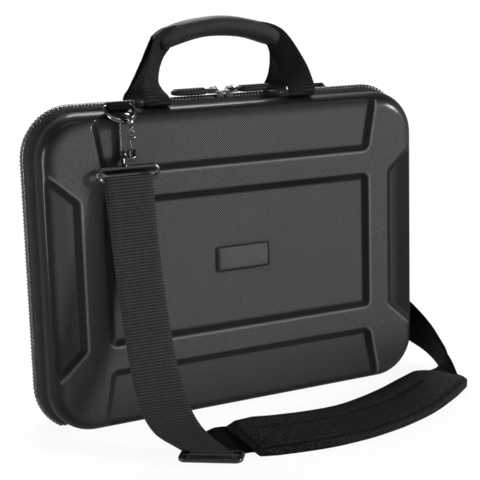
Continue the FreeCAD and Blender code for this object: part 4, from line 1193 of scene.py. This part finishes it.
# shoulder strap: two layers on the left, adjuster, pad, and one layer round to the back
strapShape = {"width": 38.0, "thick": 1.5, "foldRadius": 2.9, "foldSteps": 16}
frontLayer = [(-102, -41.6, 199.0), (-102, -42.6, 191), (-102, -44.4, 170), (-102, -50.4, 135),
              (-102, -58.2, 100), (-102.5, -69.8, 64), (-103, -82.6, 40.2), (-102, -96.4, 24.2),
              (-99.4, -110.6, 15.6), (-95.6, -123.4, 12.4), (-91.8, -133.4, 10.6), (-89.2, -139.4, 9.0)]
frontAcross = [(1, 0, 0), (1, 0, 0), (1, 0, 0), (1, 0, 0), (1, -0.02, 0), (1, -0.06, 0), (1, -0.12, 0),
               (1, -0.2, 0), (1, -0.33, 0), (1, -0.5, 0), (1, -0.65, 0), (1, -0.727, 0)]
frontWidth = [1.0] * 8 + [0.98, 0.92, 0.84, 0.8]  # drawn in at the adjuster
backLayer = [(-102, -35.6, 198.4), (-102, -36.4, 190), (-102, -41.0, 169), (-101.6, -47.2, 133.5),
             (-101.2, -55.2, 98), (-101, -66.2, 62), (-100.8, -78.6, 38), (-99.8, -92.6, 21.6),
             (-97.4, -107.0, 13.2), (-95.0, -120.0, 10.4), (-92.6, -131.4, 8.2)]
backAcross = frontAcross[:10] + [(1, -0.62, 0)]
backWidth = [1.0] * 7 + [0.97, 0.92, 0.84, 0.8]


def strapFold(name, x, y, z):
    # the turn of webbing round the loop's lower bar
    radius, steps = strapShape["foldRadius"], strapShape["foldSteps"]
    turns = [math.radians(200 - 220 * i / steps) for i in range(steps + 1)]
    line = [(x, y + radius * math.cos(t), z + radius * math.sin(t)) for t in turns]
    return sweep(name, line, (1, 0, 0), webSection(strapShape["width"], strapShape["thick"]))


def strapStrip(name, route, acrossList, skew=False, widths=None):
    line = routeLine(route)
    widths = spread(widths, route, line) if widths else None
    section = webSection(strapShape["width"], strapShape["thick"], 9)
    strip = sweep(name, line, spread(acrossList, route, line), section, scaleU=widths, skew=skew)
    return strip, line


def buildLeftRun():
    front, frontLine = strapStrip("strapLeftFront", frontLayer, frontAcross, True, frontWidth)
    back, backLine = strapStrip("strapLeftBack", backLayer, backAcross, True, backWidth)
    fold = strapFold("strapLeftFold", hangShape["x"], hangShape["postY"], hangShape["loopZ"])
    dress(fold, "ring_left", webbing)
    for piece in (front, back):
        dress(piece, None, webbing)
        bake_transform(piece)
    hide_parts("strap_left_run")


buildLeftRun()


# adjuster: rounded frame with a middle bar, lying on the floor under the doubled run
adjusterShape = {
    "x": -89.0, "y": -139.5, "z": 3.9, "turn": -36.0, "halfX": 24.0, "halfY": 11.0, "thick": 3.4,
    "bar": 4.0, "barRound": 1.3, "middleRound": 1.2, "middleThin": 0.9, "corner": 4.0, "cornerSteps": 7,
    "wrap": 3.3, "wrapSteps": 12, "wrapWidth": 0.84, "wrapEnd": [(0, 4, -3.4), (0, 9, -3.5)],
}


def buildAdjuster():
    shape = adjusterShape
    spin = Matrix.Rotation(math.radians(shape["turn"]), 4, "Z")
    place = Matrix.Translation((shape["x"], shape["y"], shape["z"] + shape["thick"] / 2)) @ spin
    turned = place.to_3x3()
    w, h = shape["halfX"] - shape["bar"] / 2, shape["halfY"] - shape["bar"] / 2
    corners = roundedCorners(w, h, shape["corner"], shape["cornerSteps"])
    ring = [Vector((x, y, 0)) for corner in corners for x, y in corner]
    section = barSection(shape["bar"], shape["thick"], shape["barRound"])
    points = []
    for i in range(len(ring) + 1):
        spot, before, after = (ring[(i + k) % len(ring)] for k in (0, -1, 1))
        along = (after - before).normalized()
        side = Vector((along.y, -along.x, 0))
        points += [place @ (spot + side * a + Vector((0, 0, b))) for a, b in section]
    faces = gridFaces(len(ring) + 1, len(section), loop=True)
    frameRing = weld(makeMesh("adjusterFrame", points, faces))
    middleLine = [place @ Vector(p) for p in ((-w, 0, 0), (0, 0, 0.2), (w, 0, 0))]
    middle = sweep("adjusterMiddle", middleLine, turned @ Vector((0, 1, 0)),
                   barSection(shape["bar"], shape["thick"] * shape["middleThin"], shape["middleRound"]))
    buckle = joinAll("adjusterBuckle", [frameRing, middle])
    dress(buckle, "front_half", glossAcetal, ["adjuster"])

    # the front layer goes round the middle bar and back under the frame
    turns = [math.radians(90 - 180 * i / shape["wrapSteps"]) for i in range(shape["wrapSteps"] + 1)]
    wrapPath = [(0, -shape["wrap"] * math.cos(t), shape["wrap"] * math.sin(t)) for t in turns]
    line = [place @ Vector(p) for p in wrapPath + shape["wrapEnd"]]
    wrap = sweep("strapAdjusterFold", line, turned @ Vector((1, 0, 0)),
                 webSection(shape["wrapWidth"] * strapShape["width"], strapShape["thick"], 9))
    dress(wrap, "front_half", webbing)


buildAdjuster()

# webbing from under the adjuster, under the pad, round the case's side and up its back
lowerRoute = [(-89, -140.5, 1.4), (-85, -132, 2.4), (-77, -124.5, 5.2), (-65, -121.5, 8.2), (-51, -124, 6.6),
              (-28, -131.5, 4.2), (5, -136.5, 1.5), (48, -133, 1.4), (96, -116.5, 1.4), (136, -94, 1.6),
              (157, -80, 2.6), (166, -74, 3.4), (173, -66, 5.4), (186, -51, 12.4), (188, -36, 20),
              (187.5, -23, 28), (184.5, 3, 38.5), (180, 25, 47.5), (171, 44, 60), (152, 50.5, 84),
              (126, 51, 125)]
lowerAcross = [(0.8, -0.6, 0), (0.76, -0.65, -0.05), (0.62, -0.75, -0.2), (0.3, -0.9, -0.3),
               (0.1, -0.95, -0.26), (-0.02, -0.98, -0.1), (0, -0.99, -0.05), (0.18, -0.98, -0.02),
               (0.43, -0.9, -0.02), (0.56, -0.83, -0.03), (0.56, -0.83, 0), (0.5, -0.86, 0),
               (0.15, -0.97, 0.12), (-0.33, -0.76, 0.54), (-0.3, -0.65, 0.7), (-0.22, -0.52, 0.82),
               (-0.02, -0.28, 0.96), (0.15, -0.3, 0.94), (0.45, -0.22, 0.86), (0.8, -0.05, 0.55),
               (0.92, 0, 0.4)]
upperRoute = [(126, 51, 125), (108, 45, 168), (102, 40.8, 190), (102, 41.6, 199.0)]
upperAcross = [(0.92, 0, 0.4), (0.98, 0, 0.2), (1, 0, 0), (1, 0, 0)]


def buildRightRun():
    lower, line = strapStrip("strapLowerRun", lowerRoute, lowerAcross, skew=True)
    upper = strapStrip("strapUpperRun", upperRoute, upperAcross)[0]
    fold = strapFold("strapRightFold", -hangShape["x"], -hangShape["postY"], hangShape["loopZ"])
    dress(fold, "ring_right", webbing)
    dress(lower, None, darkWeb)
    dress(upper, None, darkWeb)
    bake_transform(lower)
    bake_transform(upper)
    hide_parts("strap_link", "strap_right_run")


buildRightRun()
print("strap laid")


# shoulder pad: crowned cushion with a sewn channel and a hemmed edge
padRoute = [(-60, -125.0, 8.8), (-46, -129.6, 9.4), (-28, -134.2, 9.2), (5, -138, 8.4), (48, -133.5, 7.2),
            (96, -117, 7.0), (136, -94.5, 7.0), (158, -80.5, 6.6), (169, -73.2, 6.0), (174.8, -69.2, 5.8)]
padAcross = [(0.1, -0.95, -0.3), (0.02, -0.95, -0.28), (-0.04, -0.97, -0.2), (0, -0.99, -0.11),
             (0.18, -0.98, -0.05), (0.43, -0.9, -0.05), (0.56, -0.82, -0.05), (0.58, -0.8, -0.05),
             (0.58, -0.8, -0.05), (0.58, -0.8, -0.05)]
padWidth = [0.66, 0.75, 0.84, 0.96, 1.0, 0.98, 0.92, 0.85, 0.8, 0.78]
padShape = {
    "half": 29.5, "high": 4.6, "low": 5.2, "edge": 2.3, "columns": 81, "rows": (12, 70, 26),
    "leftRun": 16, "rightRun": 22, "endFill": 0.4, "endEdge": 0.6, "crownPower": 4, "crownSoft": 0.6,
    "edgeThin": 0.55,
    "channel": -0.24, "channelWide": 0.075, "groove": 2.4,
    "channelIn": 14, "channelOut": 42, "channelSoft": 6,
    "stitchIn": 18, "stitchOut": 46, "stitchSpots": 90, "stitchLift": 0.15,
    "hemIn": 4.6, "hemWide": 1.4, "hemDeep": 1.7,
    "endRound": 20.0, "endLeast": 0.2, "skew": 10.0, "skewIn": 3, "skewRun": 55.0,
    "farRound": 9.0, "farPower": 5, "farRun": 30.0,
}


def buildPad():
    shape = padShape
    line = routeLine(padRoute, 16)
    runs = np.array(runLengths(line))
    total = runs[-1]
    spots = np.array([tuple(p) for p in line])
    sides = spread(padAcross, padRoute, line)
    widths = spread(padWidth, padRoute, line)

    def spotAt(s, u, lift):
        # the left end is cut askew, its far corner further out
        s = s + (shape["skew"] * u + shape["skewIn"]) * max(0.0, 1 - s / shape["skewRun"])
        far = shape["farRound"] * max(0.0, -u) ** shape["farPower"]
        s += far * max(0.0, 1 - max(0.0, s) / shape["farRun"])
        along = (readAt(spots, runs, min(s + 1, total)) - readAt(spots, runs, max(s - 1, 0))).normalized()
        side = readAt(sides, runs, max(0.0, s))
        side = (side - along * side.dot(along)).normalized()
        upright = side.cross(along)
        middle = readAt(spots, runs, s) + along * min(0.0, s)
        end = 1.0
        if total - s < shape["endRound"]:
            end = math.sqrt(max(0.05, 1 - ((shape["endRound"] - total + s) / shape["endRound"]) ** 2))
        slim = shape["endLeast"] + (1 - shape["endLeast"]) * end
        half = shape["half"] * np.interp(s, runs, widths) * slim
        return middle + side * (half * u) + upright * lift, upright, half

    def channelShare(s, u):
        # one channel along the middle, stopping short of both ends
        stop = clamp((s - shape["channelIn"]) / shape["channelSoft"])
        stop *= clamp((total - shape["channelOut"] - s) / shape["channelSoft"])
        return stop * math.exp(-((u - shape["channel"]) / shape["channelWide"]) ** 2)

    def hemShare(s, u):
        # the hem's seam runs all round the edge
        inward = min((1 - abs(u)) * shape["half"], total - s, s + 2)
        return math.exp(-((inward - shape["hemIn"]) / shape["hemWide"]) ** 2)

    def liftAt(s, u, height):
        # a crowned face, flatter towards both ends
        least = shape["endFill"]
        fill = min(1.0, least + min(s, total - s) / shape["leftRun"] * (1 - least))
        crown = max(0.0, 1 - abs(u) ** shape["crownPower"]) ** shape["crownSoft"]
        edge = shape["edge"] * (shape["endEdge"] + (1 - shape["endEdge"]) * fill)
        return edge + (height - shape["edge"]) * crown * fill, fill

    def topLift(s, u):
        lift, fill = liftAt(s, u, shape["high"])
        return lift - (shape["groove"] * channelShare(s, u) + shape["hemDeep"] * hemShare(s, u)) * fill

    columns = [math.sin(math.pi / 2 * (-1 + 2 * k / (shape["columns"] - 1))) for k in range(shape["columns"])]
    near, far = shape["leftRun"], total - shape["rightRun"]
    first, second, third = shape["rows"]
    stops = np.concatenate([np.linspace(0, near, first)[:-1], np.linspace(near, far, second)[:-1],
                            np.linspace(far, total, third)])
    points, uvs, grooveShades = [], [], []
    for s in stops:
        rim = [(u, topLift(s, u), max(channelShare(s, u), hemShare(s, u))) for u in columns]
        rim += [(u, -liftAt(s, u, shape["low"])[0], 0.0) for u in reversed(columns)]
        for u, lift, seam in rim:
            spot, upright, half = spotAt(s, u, lift * (shape["edgeThin"] if abs(u) > 0.999 else 1))
            points.append(spot)
            uvs.append((half * u, s))
            grooveShades.append(seam)
    pad = makeMesh("shoulderPad", points, tubeFaces(len(stops), 2 * len(columns)), uvs)
    # the seam share also paints shade into the channel and hem grooves
    setShares(pad, "seam", grooveShades)
    weld(pad)
    dress(pad, "front_half", padCloth, ["shoulder_pad"])
    middle = shape["channel"]
    seamLine, seamUp = [], []
    for s in np.linspace(shape["stitchIn"], total - shape["stitchOut"], shape["stitchSpots"]):
        spot, upright, half = spotAt(s, middle, topLift(s, middle) + shape["stitchLift"])
        seamLine.append(spot)
        seamUp.append(upright)
    dress(stitchRow("padStitches", seamLine, seamUp), "front_half", thread)


buildPad()
print("pad stuffed")


# floor, backdrop and lamps
stageLook = {
    "floor": (0.7, 0.7, 0.7), "half": 6000, "near": 0.92, "far": 1.0,
    "room": (0.8, 0.8, 0.8), "ambient": 0.06, "ceiling": 0.2,
}


def buildFloor():
    # a pale floor that keeps the shadow and fades to white away from the case
    half = stageLook["half"]
    corners = [(-half, -half, 0), (half, -half, 0), (half, half, 0), (-half, half, 0)]
    floor = makeMesh("floorSheet", corners, [(0, 1, 2, 3)])
    material, look, sockets = newMaterial("paleFloor", 0.0)
    look.feed(sockets["Base Color"], stageLook["floor"])
    sockets["Roughness"].default_value = 0.9
    glow = look.nodes.new("ShaderNodeEmission")
    glow.inputs["Strength"].default_value = 1.0
    away = look.nodes.new("ShaderNodeVectorMath")
    away.operation = "LENGTH"
    look.links.new(look.place(), away.inputs[0])
    white = look.ramp(away.outputs["Value"], (0.35, stageLook["near"]), (1.6, stageLook["far"]))
    look.show("Material Output", look.times(look.seen(), white), look.nodes["Principled BSDF"], glow)
    floor.data.materials.append(material)


def buildRoom():
    # a white backdrop all round, with a dimmer ceiling above it
    world = bpy.data.worlds.new("softRoom")
    scene.world = world
    world.use_nodes = True
    look = Look(world.node_tree)
    room = look.nodes["Background"]
    look.feed(room.inputs["Color"], stageLook["room"])
    room.inputs["Strength"].default_value = stageLook["ambient"]
    white = look.nodes.new("ShaderNodeBackground")
    look.feed(white.inputs["Color"], (1, 1, 1))
    x, y, height = look.split(look.place("Generated"))
    look.feed(white.inputs["Strength"], look.ramp(height, (0.3, 1.0), (0.6, stageLook["ceiling"])))
    look.show("World Output", look.seen(), room, white)


def lamp(name, spot, aim, size, watts, beam=180):
    data = bpy.data.lights.new(name, "AREA")
    data.shape = "RECTANGLE"
    data.size, data.size_y = size
    data.energy = watts
    data.spread = math.radians(beam)
    obj = addObject(name, data)
    obj.location = spot
    obj.rotation_euler = (Vector(aim) - Vector(spot)).to_track_quat("-Z", "Y").to_euler()


buildFloor()
buildRoom()
lamp("keyBox", (2.3, -1.85, 1.05), (-0.2, -0.03, 0.17), (0.6, 0.6), 4.8, 26)
lamp("frontCard", (0.62, -1.4, 0.42), (0, 0, 0.12), (0.25, 0.4), 0.8)
lamp("topBox", (-0.15, -0.35, 1.4), (0, 0, 0.12), (0.8, 0.1), 3)
lamp("leftStrip", (-0.9, -0.1, 0.24), (0, -0.03, 0.12), (0.05, 0.5), 9)
lamp("backBox", (0.5, 1.2, 1.6), (0, 0, 0.12), (0.9, 0.9), 55)
print("stage lit")
